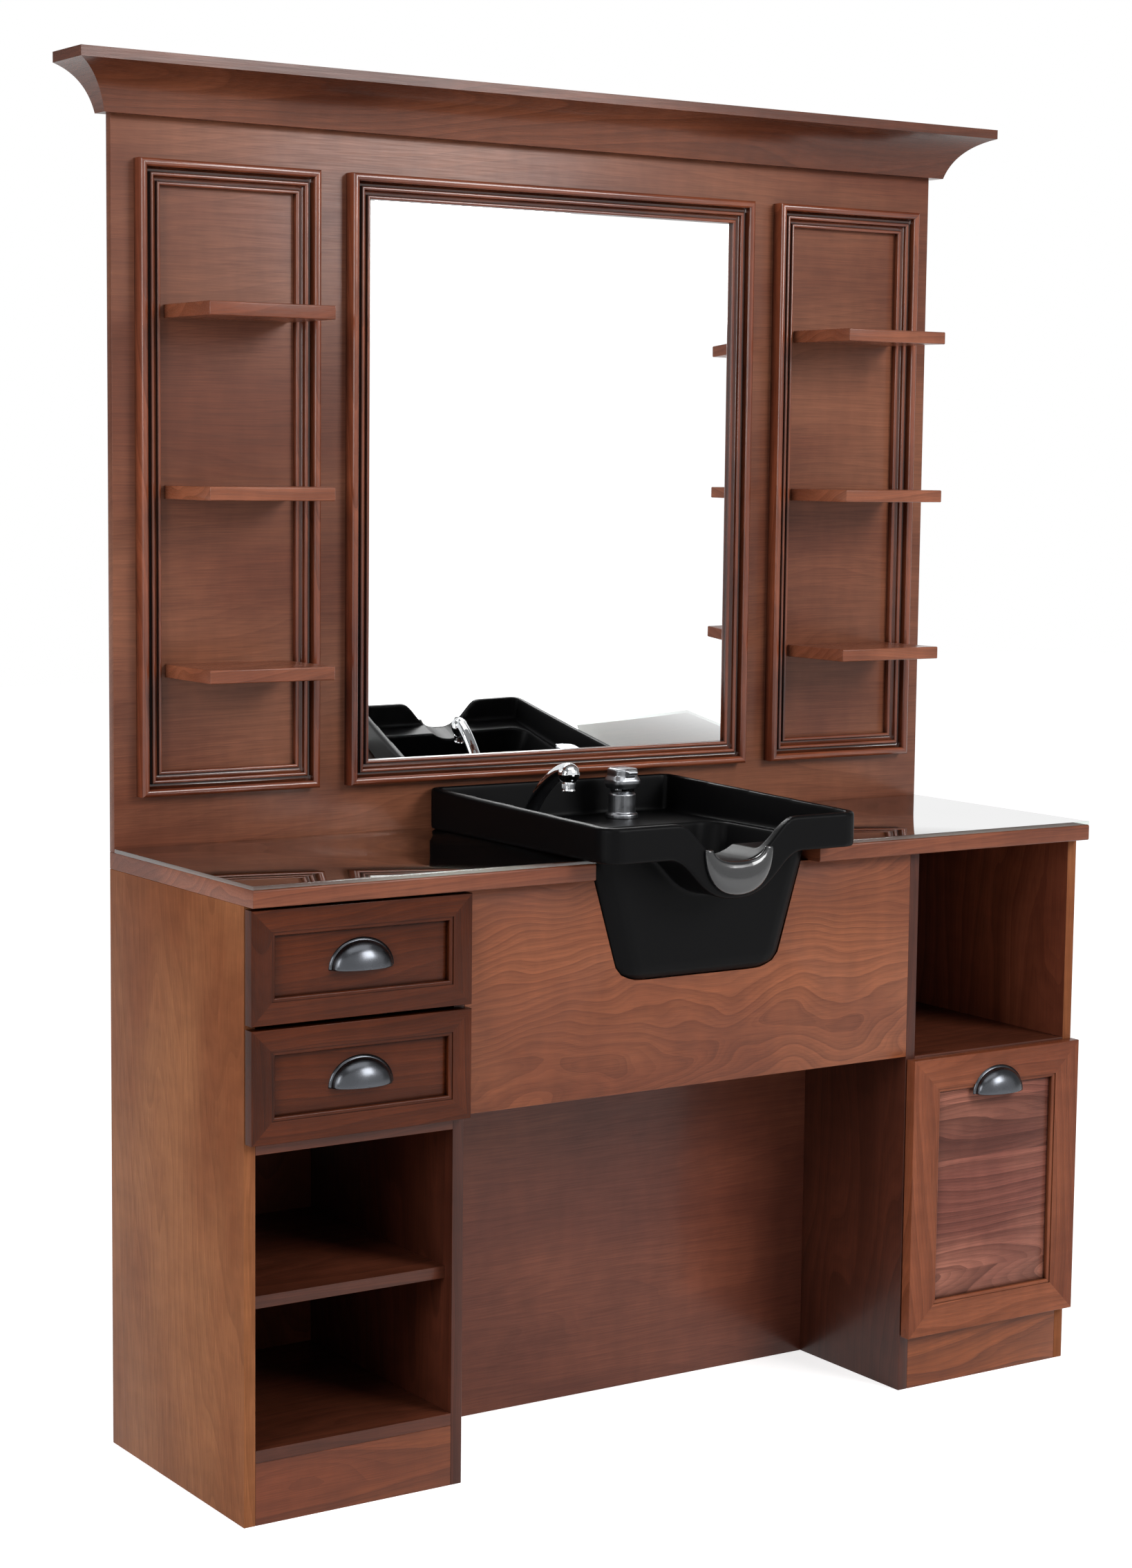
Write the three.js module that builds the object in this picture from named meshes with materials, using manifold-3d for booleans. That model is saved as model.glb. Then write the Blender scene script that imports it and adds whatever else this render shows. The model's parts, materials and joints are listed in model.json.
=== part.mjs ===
// Barber wet station: two pedestals, a glass-topped counter with a shampoo bowl, and a
// tall back panel with moulded frames, a mirror, shelves and a cove crown.
// Millimetres, +Z up. The front faces -Y, and the origin is on the floor under the
// middle of the station. Depths are counted from the flat back towards the front.
import * as THREE from 'three';
import { mergeVertices } from 'three/addons/utils/BufferGeometryUtils.js';
import Module from 'manifold-3d';

const wasm = await Module();
wasm.setup();

// Cabinet
const STATION_WIDTH = 1524;
const STATION_HEIGHT = 2040;
const CARCASS_DEPTH = 426;
const CARCASS_HEIGHT = 870;
const PEDESTAL_WIDTH = 352;
const BOARD = 18;
const BACK_BOARD = 6;
const KICK_HEIGHT = 89;
const BAY_SHELF_TOP = 320;
const BAY_SHELF_SETBACK = 20;
const KNEE_CLEARANCE = 17;
const APRON_REVEAL = 1;
const SEAM = 0.3;

// Counter
const COUNTER_THICKNESS = 25;
const COUNTER_OVERHANG = 29;
const COUNTER_NOSE = 3;
const GLASS_THICKNESS = 6;
const NOTCH_CLEARANCE = 2;

// Back panel and crown
const PANEL_THICKNESS = 16;
const CROWN_HEIGHT = 81;
const CROWN_PROJECTION = 81;
const CROWN_FASCIA = 15;
const CROWN_FOOT = 17;
const CROWN_SAG = 12.5;
const CROWN_WALL = 14;
const CROWN_HEEL = 22;
const CAP_THICKNESS = 12;
const CAP_DROP = 2;

// Moulded frames and mirror
const FRAME_MARGIN = 36;
const SIDE_FRAME_WIDTH = 296;
const FRAME_GAP = 53;
const FRAME_LIFT = 75;
const FRAME_HEADROOM = 60;
const MOULDING_WIDTH = 37;
const MOULDING_DEPTH = 24;
const OUTER_BEAD = 6;
const MIDDLE_BEAD = 3.2;
const MIDDLE_BEAD_TOP = 16;
const INNER_BEAD = 3;
const INNER_BEAD_TOP = 11;
const MIRROR_THICKNESS = 5;
const MIRROR_LAP = 8;

// Wall shelves
const SHELF_END_GAP = 9.5;
const SHELF_DEPTH = 149;
const SHELF_THICKNESS = 20;
const SHELF_NOSE = 2;
const LOWEST_SHELF_RISE = 137;
const HIGHEST_SHELF_DROP = 169;
const SHELF_COUNT = 3;

// Drawer and door fronts
const FRONT_THICKNESS = 19;
const FRONT_REVEAL = 1;
const FRONT_EASE = 1.5;
const DRAWER_RAIL = 37;
const DOOR_RAIL = 56;
const RECESS_DEPTH = 9;
const RECESS_BEAD = 3;
const INSET_PANEL = 6;
const INSET_LAP = 10;
const COUNTER_REVEAL = 4;
const DRAWER_GAP = 6;
const DRAWER_FRONT_HEIGHT = 159;
const DOOR_TOP_REVEAL = 3;

// Drawer boxes and runners
const DRAWER_ROWS = ['lower', 'upper'];
const DRAWER_BOX_DEPTH = 380;
const DRAWER_BOX_HEADROOM = 35;
const DRAWER_BOX_RISE = 14;
const DRAWER_WALL = 12;
const DRAWER_SIDE_ROOM = 13;
const DRAWER_FLOOR = 6;
const DRAWER_FLOOR_RISE = 10;
const RUNNER_HEIGHT = 15;
const RUNNER_RISE = 48;
const RUNNER_BITE = 6;
const RUNNER_SETBACK = 26;
const RUNNER_STOP = 3;

// Cup pulls
const PULL_WIDTH = 104;
const PULL_HEIGHT = 43;
const PULL_PLATE = 3;
const CUP_WIDTH = 88;
const CUP_PROJECTION = 25;
const CUP_HEIGHT = 37;
const CUP_WALL = 2.5;
const DRAWER_PULL_DROP = 13;
const DOOR_PULL_DROP = 66;

// Tilt-out hamper
const HINGE_LEAF = 1.1;
const HINGE_LEAF_GAP = 0.4;
const HINGE_LEAF_HEIGHT = 16;
const HINGE_LENGTH = 280;
const HINGE_KNUCKLES = 5;
const HINGE_PIN_RADIUS = 1.2;
const HINGE_CLEARANCE = 0.5;
const BIN_WALL = 9;
const BIN_SIDE_ROOM = 7;
const BIN_FLOOR_ROOM = 5;
const BIN_DEPTH = 300;
const BIN_CORNER = 40;
const BIN_HEADROOM = 18;
const BIN_SWING_CLEARANCE = 8;

// Shampoo bowl
const BOWL_WIDTH = 464;
const BOWL_LENGTH = 505;
const BOWL_WALL_GAP = 1;
const BOWL_BACK_RADIUS = 22;
const BOWL_FRONT_RADIUS = 30;
const RIM_HEIGHT = 52;
const RIM_BACK_RISE = 12;
const RIM_TOP = 14;
const RIM_ROUND = 4;
const RIM_DRAFT = 6;
const TAP_DECK_THICKNESS = 6;
const TAP_DECK_LENGTH = 172;
const BASIN_WIDTH = 408;
const BASIN_LENGTH = 257;
const BASIN_DROP = 190;
const BASIN_TAPER = 54;
const BASIN_BACK_TAPER = 40;
const BASIN_FRONT_TAPER = 6;
const BASIN_CORNER = 40;
const BASIN_FLOOR_ROUND = 22;
const BOWL_SHELL = 6;
const NECK_WIDTH = 244;
const NECK_DROP = 64;
const NECK_SCOOP_WIDTH = 224;
const NECK_SCOOP_DROP = 8;
const PAD_WIDTH = 124;
const PAD_DROP = 58;
const PAD_TOP_DROP = 7;
const PAD_TIP_RISE = 12;
const PAD_TIP = 14;
const PAD_THICKNESS = 12;
const PAD_TIP_THICKNESS = 6;
const NECK_SHOULDER = 0.65;
const NECK_BELLY = 0.6;
const PAD_BELLY = 0.5;
const PAD_FLANK = 0.7;
const PAD_FULLNESS = 0.55;
const PAD_STEPS = 24;
const PAD_SECTION_STEPS = 10;

// Drain
const DRAIN_RADIUS = 21;
const DRAIN_FLANGE_RADIUS = 34;
const DRAIN_FLANGE = 3;
const DRAIN_WALL = 4;
const DRAIN_TAIL = 30;
const TRAP_RADIUS = 19;
const TRAP_BEND = 38;
const TRAP_DROP = 70;
const TRAP_RISE = 15;
const SLIP_NUT_RADIUS = 28;
const SLIP_NUT_HEIGHT = 20;
const SLIP_NUT_SIDES = 8;
const WALL_FLANGE_RADIUS = 38;
const WALL_FLANGE = 5;

// Taps
const TAP_SPREAD = 176;
const TAP_SETBACK = 76;
const SPOUT_FLANGE_RADIUS = 23;
const SPOUT_FLANGE = 6;
const SPOUT_RADIUS = 11.5;
const SPOUT_REACH = 110;
const SPOUT_HEIGHT = 95;
const SPOUT_RISE_HANDLE = 30;
const SPOUT_RUN_HANDLE = 68;
const SPOUT_DOME_RADIUS = 17;
const AERATOR_RADIUS = 10.5;
const AERATOR_LENGTH = 16;
const AERATOR_EASE = 1;
const MIXER_RADIUS = 22;
const MIXER_HEIGHT = 40;
const MIXER_FLANGE_RADIUS = 26;
const MIXER_FLANGE = 8;
const MIXER_EASE = 2;
const MIXER_BALL_RADIUS = 19.5;
const MIXER_BALL_RISE = 8;
const MIXER_BALL_CLEARANCE = 0.8;
const HANDLE_WIDTH = 49;
const HANDLE_CORNER = 13;
const HANDLE_HEIGHT = 32;
const HANDLE_SKIRT = 7;
const HANDLE_SKIRT_DRAW = 2.5;
const HANDLE_FLARE = 6;
const HANDLE_NECK = 7;
const HANDLE_NECK_DRAW = 3.5;
const LEVER_WIDTH = 18;
const LEVER_REACH = 7;
const LEVER_THICKNESS = 8;

// Places that follow from the sizes above
const HALF_WIDTH = STATION_WIDTH / 2;
const COUNTER_TOP = CARCASS_HEIGHT + COUNTER_THICKNESS;
const GLASS_TOP = COUNTER_TOP + GLASS_THICKNESS;
const COUNTER_DEPTH = CARCASS_DEPTH + COUNTER_OVERHANG;
const CROWN_BOTTOM = STATION_HEIGHT - CROWN_HEIGHT;
const DRAWER_PITCH = DRAWER_FRONT_HEIGHT + DRAWER_GAP;
const DECK_TOP = CARCASS_HEIGHT - COUNTER_REVEAL + DRAWER_GAP - DRAWER_ROWS.length * DRAWER_PITCH;
const FRONT_GAP = 2 * HINGE_LEAF + HINGE_LEAF_GAP;
const FRONT_BACK = CARCASS_DEPTH + FRONT_GAP;
const BOWL_BACK = PANEL_THICKNESS + BOWL_WALL_GAP;
const BOWL_FRONT = BOWL_BACK + BOWL_LENGTH;
const BASIN_BACK = BOWL_BACK + TAP_DECK_LENGTH;
const BASIN_FRONT = BASIN_BACK + BASIN_LENGTH;
const TAP_DECK_TOP = GLASS_TOP + TAP_DECK_THICKNESS;
const TAP_DEPTH = BOWL_BACK + TAP_SETBACK;
const STATION_DEPTH = BOWL_FRONT + PAD_THICKNESS;

// Finishes
const CHERRY = { color: 0x74402d, roughness: 0.4, metalness: 0 };
const CHERRY_DARK = { color: 0x4c291e, roughness: 0.42, metalness: 0 };
const DRAWER_BIRCH = { color: 0xc2a077, roughness: 0.6, metalness: 0 };
const CLEAR_GLASS = { color: 0x1d2422, roughness: 0.04, metalness: 0, transparent: true, opacity: 0.5 };
const MIRROR = { color: 0xdfe3e5, roughness: 0.02, metalness: 1 };
const BLACK_PLASTIC = { color: 0x1a1a1c, roughness: 0.45, metalness: 0 };
const GREY_GEL = { color: 0x55565a, roughness: 0.25, metalness: 0 };
const PEWTER = { color: 0x34373b, roughness: 0.32, metalness: 1 };
const CHROME = { color: 0xc9ccd0, roughness: 0.08, metalness: 1 };
const SATIN_GREY = { color: 0x7b7d82, roughness: 0.35, metalness: 0.8 };
const HINGE_STEEL = { color: 0x8f8a80, roughness: 0.35, metalness: 1 };

const station = new THREE.Group();
station.position.y = STATION_DEPTH / 2;

function add(name, finish, geometry) {
  const mesh = new THREE.Mesh(geometry, new THREE.MeshStandardMaterial(finish));
  mesh.name = name;
  station.add(mesh);
}

// A rectangular board, from ranges of x, depth and height.
function board([x0, x1], [depth0, depth1], [z0, z1]) {
  const geometry = new THREE.BoxGeometry(x1 - x0, depth1 - depth0, z1 - z0);
  return geometry.translate((x0 + x1) / 2, -(depth0 + depth1) / 2, (z0 + z1) / 2);
}

// A side profile of depth and height, run across from x0 to x1.
function acrossX(profile, [x0, x1]) {
  const geometry = new THREE.ExtrudeGeometry(profile, {
    depth: x1 - x0, bevelEnabled: false, curveSegments: 6,
  });
  const basis = new THREE.Matrix4().makeBasis(
    new THREE.Vector3(0, -1, 0), new THREE.Vector3(0, 0, 1), new THREE.Vector3(-1, 0, 0));
  return geometry.applyMatrix4(basis).translate(x1, 0, 0);
}

// A front outline of x and height, run forward between two depths, with round edges.
function forward(outline, [depth0, depth1], round = 0, curveSegments = 14) {
  const geometry = new THREE.ExtrudeGeometry(outline, {
    depth: depth1 - depth0 - 2 * round,
    bevelEnabled: round > 0,
    bevelThickness: round,
    bevelSize: round,
    bevelOffset: -round,
    bevelSegments: 3,
    curveSegments,
  });
  return geometry.rotateX(Math.PI / 2).translate(0, -depth0 - round, 0);
}

// A profile of radius and height, turned about a vertical axis.
function turned(points, segments = 28) {
  const profile = points.map(([radius, height]) => new THREE.Vector2(radius, height));
  return new THREE.LatheGeometry(profile, segments).rotateX(Math.PI / 2);
}

// A skin over rings of points. Rings run counter-clockwise seen from the last one, and
// the outline, where there is one, closes the first and last rings.
function loft(rings, outline) {
  const count = rings[0].length;
  const positions = rings.flat().flatMap((point) => [point.x, point.y, point.z]);
  const faces = [];
  const spans = outline ? rings.length - 1 : rings.length;
  for (let i = 0; i < spans; i += 1) {
    const here = i * count;
    const next = ((i + 1) % rings.length) * count;
    for (let j = 0; j < count; j += 1) {
      const k = (j + 1) % count;
      faces.push(here + j, here + k, next + k, here + j, next + k, next + j);
    }
  }
  if (outline) {
    const last = (rings.length - 1) * count;
    for (const [a, b, c] of THREE.ShapeUtils.triangulateShape(outline, [])) {
      faces.push(a, c, b, last + a, last + b, last + c);
    }
  }
  const geometry = new THREE.BufferGeometry();
  geometry.setAttribute('position', new THREE.Float32BufferAttribute(positions, 3));
  geometry.setIndex(faces);
  return geometry;
}

function solid(geometry) {
  const bare = geometry.clone();
  bare.deleteAttribute('normal');
  bare.deleteAttribute('uv');
  const merged = mergeVertices(bare);
  return new wasm.Manifold(new wasm.Mesh({
    numProp: 3,
    vertProperties: new Float32Array(merged.attributes.position.array),
    triVerts: new Uint32Array(merged.index.array),
  }));
}

function skin(manifold) {
  const mesh = manifold.getMesh();
  const geometry = new THREE.BufferGeometry();
  geometry.setAttribute('position', new THREE.BufferAttribute(mesh.vertProperties, 3));
  geometry.setIndex(new THREE.BufferAttribute(mesh.triVerts, 1));
  return geometry;
}

function join(...pieces) {
  return skin(pieces.map(solid).reduce((sum, piece) => sum.add(piece)));
}

function cut(piece, ...tools) {
  return skin(tools.map(solid).reduce((rest, tool) => rest.subtract(tool), solid(piece)));
}

function overlap(piece, other) {
  return skin(solid(piece).intersect(solid(other)));
}

// Pedestals: two sides, a bottom board on a kick board, a fixed deck and a thin back.
const inside = (side) => {
  const walls = [HALF_WIDTH - BOARD, HALF_WIDTH - PEDESTAL_WIDTH + BOARD].map((x) => side * x);
  return walls.sort((a, b) => a - b);
};
for (const [side, word] of [[-1, 'left'], [1, 'right']]) {
  const between = inside(side);
  const fullDepth = [0, CARCASS_DEPTH];
  const boardDepth = [BACK_BOARD, CARCASS_DEPTH];
  const sides = [
    [between[0] - BOARD, between[0]],
    [between[1], between[1] + BOARD],
  ];
  const [outer, inner] = side < 0 ? sides : sides.reverse();
  add(`${word}_outer_side`, CHERRY, board(outer, fullDepth, [0, CARCASS_HEIGHT]));
  add(`${word}_inner_side`, CHERRY_DARK, board(inner, fullDepth, [0, CARCASS_HEIGHT]));
  add(`${word}_kick`, CHERRY,
    board(between, [CARCASS_DEPTH - BOARD, CARCASS_DEPTH], [0, KICK_HEIGHT]));
  add(`${word}_bottom`, CHERRY_DARK, board(between, boardDepth, [KICK_HEIGHT, KICK_HEIGHT + BOARD]));
  add(`${word}_back`, CHERRY_DARK, board(between, [0, BACK_BOARD], [KICK_HEIGHT, CARCASS_HEIGHT]));
  add(side < 0 ? 'drawer_deck' : 'cubby_floor', CHERRY,
    board(between, boardDepth, [DECK_TOP - BOARD, DECK_TOP]));
}
add('open_bay_shelf', CHERRY, board(
  inside(-1), [BACK_BOARD, CARCASS_DEPTH - BAY_SHELF_SETBACK], [BAY_SHELF_TOP - BOARD, BAY_SHELF_TOP]));

// Basin of the bowl, grown by a margin or drawn in by a wall. It tapers to a round-edged
// floor, and its front wall stands nearly upright.
const RING_STEPS = 5;
function roundedRing([x0, x1], [depth0, depth1], backRadius, frontRadius, z) {
  const corners = [
    [x1 - frontRadius, frontRadius - depth1, frontRadius, -Math.PI / 2],
    [x1 - backRadius, -depth0 - backRadius, backRadius, 0],
    [x0 + backRadius, -depth0 - backRadius, backRadius, Math.PI / 2],
    [x0 + frontRadius, frontRadius - depth1, frontRadius, Math.PI],
  ];
  return corners.flatMap(([x, y, radius, start]) => Array.from({ length: RING_STEPS + 1 }, (_, step) => {
    const angle = start + (step / RING_STEPS) * (Math.PI / 2);
    return new THREE.Vector3(x + radius * Math.cos(angle), y + radius * Math.sin(angle), z);
  }));
}
const planOf = (ring) => ring.map((point) => new THREE.Vector2(point.x, point.y));

function basin(margin, top) {
  const level = (z, drawIn) => {
    const fall = (GLASS_TOP - z) / BASIN_DROP;
    const half = BASIN_WIDTH / 2 - BASIN_TAPER * fall + margin - drawIn;
    const back = BASIN_BACK + BASIN_BACK_TAPER * fall - margin + drawIn;
    const front = BASIN_FRONT - BASIN_FRONT_TAPER * fall + margin - drawIn;
    const radius = BASIN_CORNER + margin;
    return roundedRing([-half, half], [back, front], radius, radius, z);
  };
  const floor = GLASS_TOP - BASIN_DROP - margin;
  const floorRound = BASIN_FLOOR_ROUND + margin;
  const rings = [0, 30, 60, 90].map((degrees) => {
    const angle = THREE.MathUtils.degToRad(degrees);
    return level(floor + floorRound * (1 - Math.cos(angle)), floorRound * (1 - Math.sin(angle)));
  });
  rings.push(level(top, 0));
  return loft(rings, planOf(rings[0]));
}

// Knee panel and apron between the pedestals. The apron is cut round the basin.
const kneeSpan = [-HALF_WIDTH + PEDESTAL_WIDTH, HALF_WIDTH - PEDESTAL_WIDTH];
const kneePanelFront = BASIN_BACK - KNEE_CLEARANCE;
add('knee_panel', CHERRY_DARK,
  board(kneeSpan, [kneePanelFront - BOARD, kneePanelFront], [0, CARCASS_HEIGHT]));
add('apron', CHERRY, cut(
  board(kneeSpan, [CARCASS_DEPTH - BOARD, CARCASS_DEPTH],
    [DECK_TOP + APRON_REVEAL, CARCASS_HEIGHT]),
  basin(NOTCH_CLEARANCE, GLASS_TOP)));

// Counter and glass, notched from the front edge for the basin.
function nosedProfile([depth0, depth1], [z0, z1], nose) {
  const profile = new THREE.Shape();
  profile.moveTo(depth0, z0);
  profile.lineTo(depth1 - nose, z0);
  profile.absarc(depth1 - nose, z0 + nose, nose, -Math.PI / 2, 0, false);
  profile.absarc(depth1 - nose, z1 - nose, nose, 0, Math.PI / 2, false);
  profile.lineTo(depth0, z1);
  return profile;
}
const notch = board(
  [-BASIN_WIDTH / 2 - NOTCH_CLEARANCE, BASIN_WIDTH / 2 + NOTCH_CLEARANCE],
  [BASIN_BACK - NOTCH_CLEARANCE, COUNTER_DEPTH + COUNTER_NOSE],
  [CARCASS_HEIGHT - COUNTER_THICKNESS, GLASS_TOP + GLASS_THICKNESS]);
const fullWidth = [-HALF_WIDTH, HALF_WIDTH];
add('counter_top', CHERRY, cut(
  acrossX(nosedProfile([0, COUNTER_DEPTH], [CARCASS_HEIGHT, COUNTER_TOP], COUNTER_NOSE), fullWidth),
  notch));
add('glass_top', CLEAR_GLASS, cut(
  acrossX(nosedProfile([PANEL_THICKNESS + SEAM, COUNTER_DEPTH], [COUNTER_TOP, GLASS_TOP],
    GLASS_THICKNESS / 4), fullWidth),
  notch));

// Back panel, standing on the counter, and the crown that wraps its front and ends.
add('back_panel', CHERRY, board(
  fullWidth, [0, PANEL_THICKNESS], [COUNTER_TOP, STATION_HEIGHT - CAP_DROP - CAP_THICKNESS]));

function crownMoulding() {
  const fasciaFoot = CROWN_HEIGHT - CROWN_FASCIA;
  const coveRun = CROWN_PROJECTION - CROWN_FOOT;
  const coveLength = Math.hypot(coveRun, fasciaFoot);
  const pull = 2 * CROWN_SAG / coveLength;
  const profile = new THREE.Shape();
  profile.moveTo(0, 0);
  profile.lineTo(CROWN_FOOT, 0);
  profile.quadraticCurveTo(
    CROWN_FOOT + coveRun / 2 - pull * fasciaFoot, fasciaFoot / 2 + pull * coveRun,
    CROWN_PROJECTION, fasciaFoot);
  profile.lineTo(CROWN_PROJECTION, CROWN_HEIGHT);
  profile.lineTo(CROWN_PROJECTION - CROWN_WALL, CROWN_HEIGHT);
  profile.lineTo(CROWN_PROJECTION - CROWN_WALL, CROWN_HEIGHT - CAP_DROP - CAP_THICKNESS);
  profile.lineTo(0, CROWN_HEEL);
  const points = profile.getPoints(12);
  const stations = [[1, false], [1, true], [-1, true], [-1, false]];
  const rings = stations.map(([side, mitred]) => points.map((point) => new THREE.Vector3(
    side * (HALF_WIDTH + point.x),
    mitred ? -PANEL_THICKNESS - point.x : 0,
    CROWN_BOTTOM + point.y)));
  return loft(rings, points);
}
add('crown_moulding', CHERRY, crownMoulding());

const capReach = CROWN_PROJECTION - CROWN_WALL;
const capTop = STATION_HEIGHT - CAP_DROP;
add('crown_cap', CHERRY_DARK, board(
  [-HALF_WIDTH - capReach, HALF_WIDTH + capReach], [0, PANEL_THICKNESS + capReach],
  [capTop - CAP_THICKNESS, capTop]));

// A mitred frame: one profile carried round a rectangle. A profile's first number runs
// in from the outer edge, and its second forward from the back.
function mitredFrame(width, height, profile) {
  const corners = [[-1, -1], [-1, 1], [1, 1], [1, -1]];
  return loft(corners.map(([acrossSign, upSign]) => profile.map((point) => new THREE.Vector3(
    acrossSign * (width / 2 - point.x), -point.y, upSign * (height / 2 - point.x)))));
}

// Moulding of three beads that step down towards the opening, with coves between them.
// The mirror's moulding also has a rabbet over the edge of the glass.
function mouldingProfile(rabbeted) {
  const outerFoot = MOULDING_DEPTH - OUTER_BEAD;
  const innerCentre = MOULDING_WIDTH - INNER_BEAD;
  const middleCentre = (2 * OUTER_BEAD + innerCentre - INNER_BEAD) / 2;
  const middleFoot = MIDDLE_BEAD_TOP - MIDDLE_BEAD;
  const innerFoot = INNER_BEAD_TOP - INNER_BEAD;
  const path = new THREE.Path();
  path.moveTo(0, 0);
  path.absarc(OUTER_BEAD, outerFoot, OUTER_BEAD, Math.PI, 0, true);
  path.quadraticCurveTo(
    2 * OUTER_BEAD, middleFoot - MIDDLE_BEAD, middleCentre - MIDDLE_BEAD, middleFoot - MIDDLE_BEAD);
  path.absarc(middleCentre, middleFoot, MIDDLE_BEAD, Math.PI, 0, true);
  path.quadraticCurveTo(
    middleCentre + MIDDLE_BEAD, innerFoot, innerCentre - INNER_BEAD, innerFoot - INNER_BEAD / 2);
  path.absarc(innerCentre, innerFoot, INNER_BEAD, Math.PI, 0, true);
  if (rabbeted) {
    path.lineTo(MOULDING_WIDTH, MIRROR_THICKNESS);
    path.lineTo(MOULDING_WIDTH - MIRROR_LAP, MIRROR_THICKNESS);
    path.lineTo(MOULDING_WIDTH - MIRROR_LAP, 0);
  } else {
    path.lineTo(MOULDING_WIDTH, 0);
  }
  return path.getPoints(6);
}

const frameBottom = GLASS_TOP + FRAME_LIFT;
const frameTop = CROWN_BOTTOM - FRAME_HEADROOM;
const frameHeight = frameTop - frameBottom;
const frameMiddle = (frameTop + frameBottom) / 2;
const sideFrameX = HALF_WIDTH - FRAME_MARGIN - SIDE_FRAME_WIDTH / 2;
const mirrorFrameWidth = STATION_WIDTH - 2 * (FRAME_MARGIN + SIDE_FRAME_WIDTH + FRAME_GAP);
function wallFrame(x, width, rabbeted) {
  return mitredFrame(width, frameHeight, mouldingProfile(rabbeted))
    .translate(x, -PANEL_THICKNESS, frameMiddle);
}
add('left_frame', CHERRY, wallFrame(-sideFrameX, SIDE_FRAME_WIDTH, false));
add('mirror_frame', CHERRY, wallFrame(0, mirrorFrameWidth, true));
add('right_frame', CHERRY, wallFrame(sideFrameX, SIDE_FRAME_WIDTH, false));

const glassInset = MOULDING_WIDTH - MIRROR_LAP + SEAM;
add('mirror_glass', MIRROR, board(
  [glassInset - mirrorFrameWidth / 2, mirrorFrameWidth / 2 - glassInset],
  [PANEL_THICKNESS, PANEL_THICKNESS + MIRROR_THICKNESS],
  [frameBottom + glassInset, frameTop - glassInset]));

// Wall shelves, screwed through the back panel inside each side frame.
const shelfHalf = SIDE_FRAME_WIDTH / 2 - MOULDING_WIDTH - SHELF_END_GAP;
const lowestShelf = frameBottom + MOULDING_WIDTH + LOWEST_SHELF_RISE;
const highestShelf = frameTop - MOULDING_WIDTH - HIGHEST_SHELF_DROP - SHELF_THICKNESS;
for (const [side, word] of [[-1, 'left'], [1, 'right']]) {
  for (let i = 0; i < SHELF_COUNT; i += 1) {
    const z = THREE.MathUtils.lerp(lowestShelf, highestShelf, i / (SHELF_COUNT - 1));
    const profile = nosedProfile(
      [PANEL_THICKNESS, PANEL_THICKNESS + SHELF_DEPTH], [z, z + SHELF_THICKNESS], SHELF_NOSE);
    const x = side * sideFrameX;
    add(`${word}_shelf_${i + 1}`, CHERRY, acrossX(profile, [x - shelfHalf, x + shelfHalf]));
  }
}

// Drawer and door fronts: a mitred frame with a small bead at the recess, and a thin
// panel let into its back.
const insetFace = FRONT_THICKNESS - RECESS_DEPTH;
function frontProfile(rail) {
  const path = new THREE.Path();
  path.moveTo(0, 0);
  path.lineTo(0, FRONT_THICKNESS - FRONT_EASE);
  path.lineTo(FRONT_EASE, FRONT_THICKNESS);
  path.lineTo(rail - 2 * RECESS_BEAD, FRONT_THICKNESS);
  path.lineTo(rail - 2 * RECESS_BEAD, FRONT_THICKNESS - RECESS_BEAD / 2);
  path.lineTo(rail - RECESS_BEAD, FRONT_THICKNESS - RECESS_BEAD / 2);
  path.absarc(rail - RECESS_BEAD, FRONT_THICKNESS - 1.5 * RECESS_BEAD, RECESS_BEAD, Math.PI / 2, 0, true);
  path.lineTo(rail, insetFace);
  path.lineTo(rail - INSET_LAP, insetFace);
  path.lineTo(rail - INSET_LAP, 0);
  return path.getPoints(4);
}
function addFront(name, rail, x, width, [z0, z1]) {
  const middle = (z0 + z1) / 2;
  add(`${name}_front`, CHERRY_DARK,
    mitredFrame(width, z1 - z0, frontProfile(rail)).translate(x, -FRONT_BACK, middle));
  const inset = rail - INSET_LAP + SEAM;
  add(`${name}_panel`, CHERRY_DARK, board(
    [x - width / 2 + inset, x + width / 2 - inset],
    [FRONT_BACK + insetFace - INSET_PANEL, FRONT_BACK + insetFace],
    [z0 + inset, z1 - inset]));
}

// Cup pull: a half-moon plate with a hollow cup, open below, its back on depth 0.
function cupPull() {
  const outline = new THREE.Shape();
  outline.absellipse(0, 0, PULL_WIDTH / 2, PULL_HEIGHT, 0, Math.PI);
  const plate = forward(outline, [0, PULL_PLATE]);
  const dome = (wall) => new THREE.SphereGeometry(1, 24, 16)
    .scale(CUP_WIDTH / 2 - wall, CUP_PROJECTION - wall, CUP_HEIGHT - wall);
  const front = board(
    [-CUP_WIDTH, CUP_WIDTH], [PULL_PLATE / 2, 2 * CUP_PROJECTION], [0, 2 * CUP_HEIGHT]);
  const cup = overlap(cut(dome(0), dome(CUP_WALL)), front);
  return join(plate, cup);
}

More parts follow.
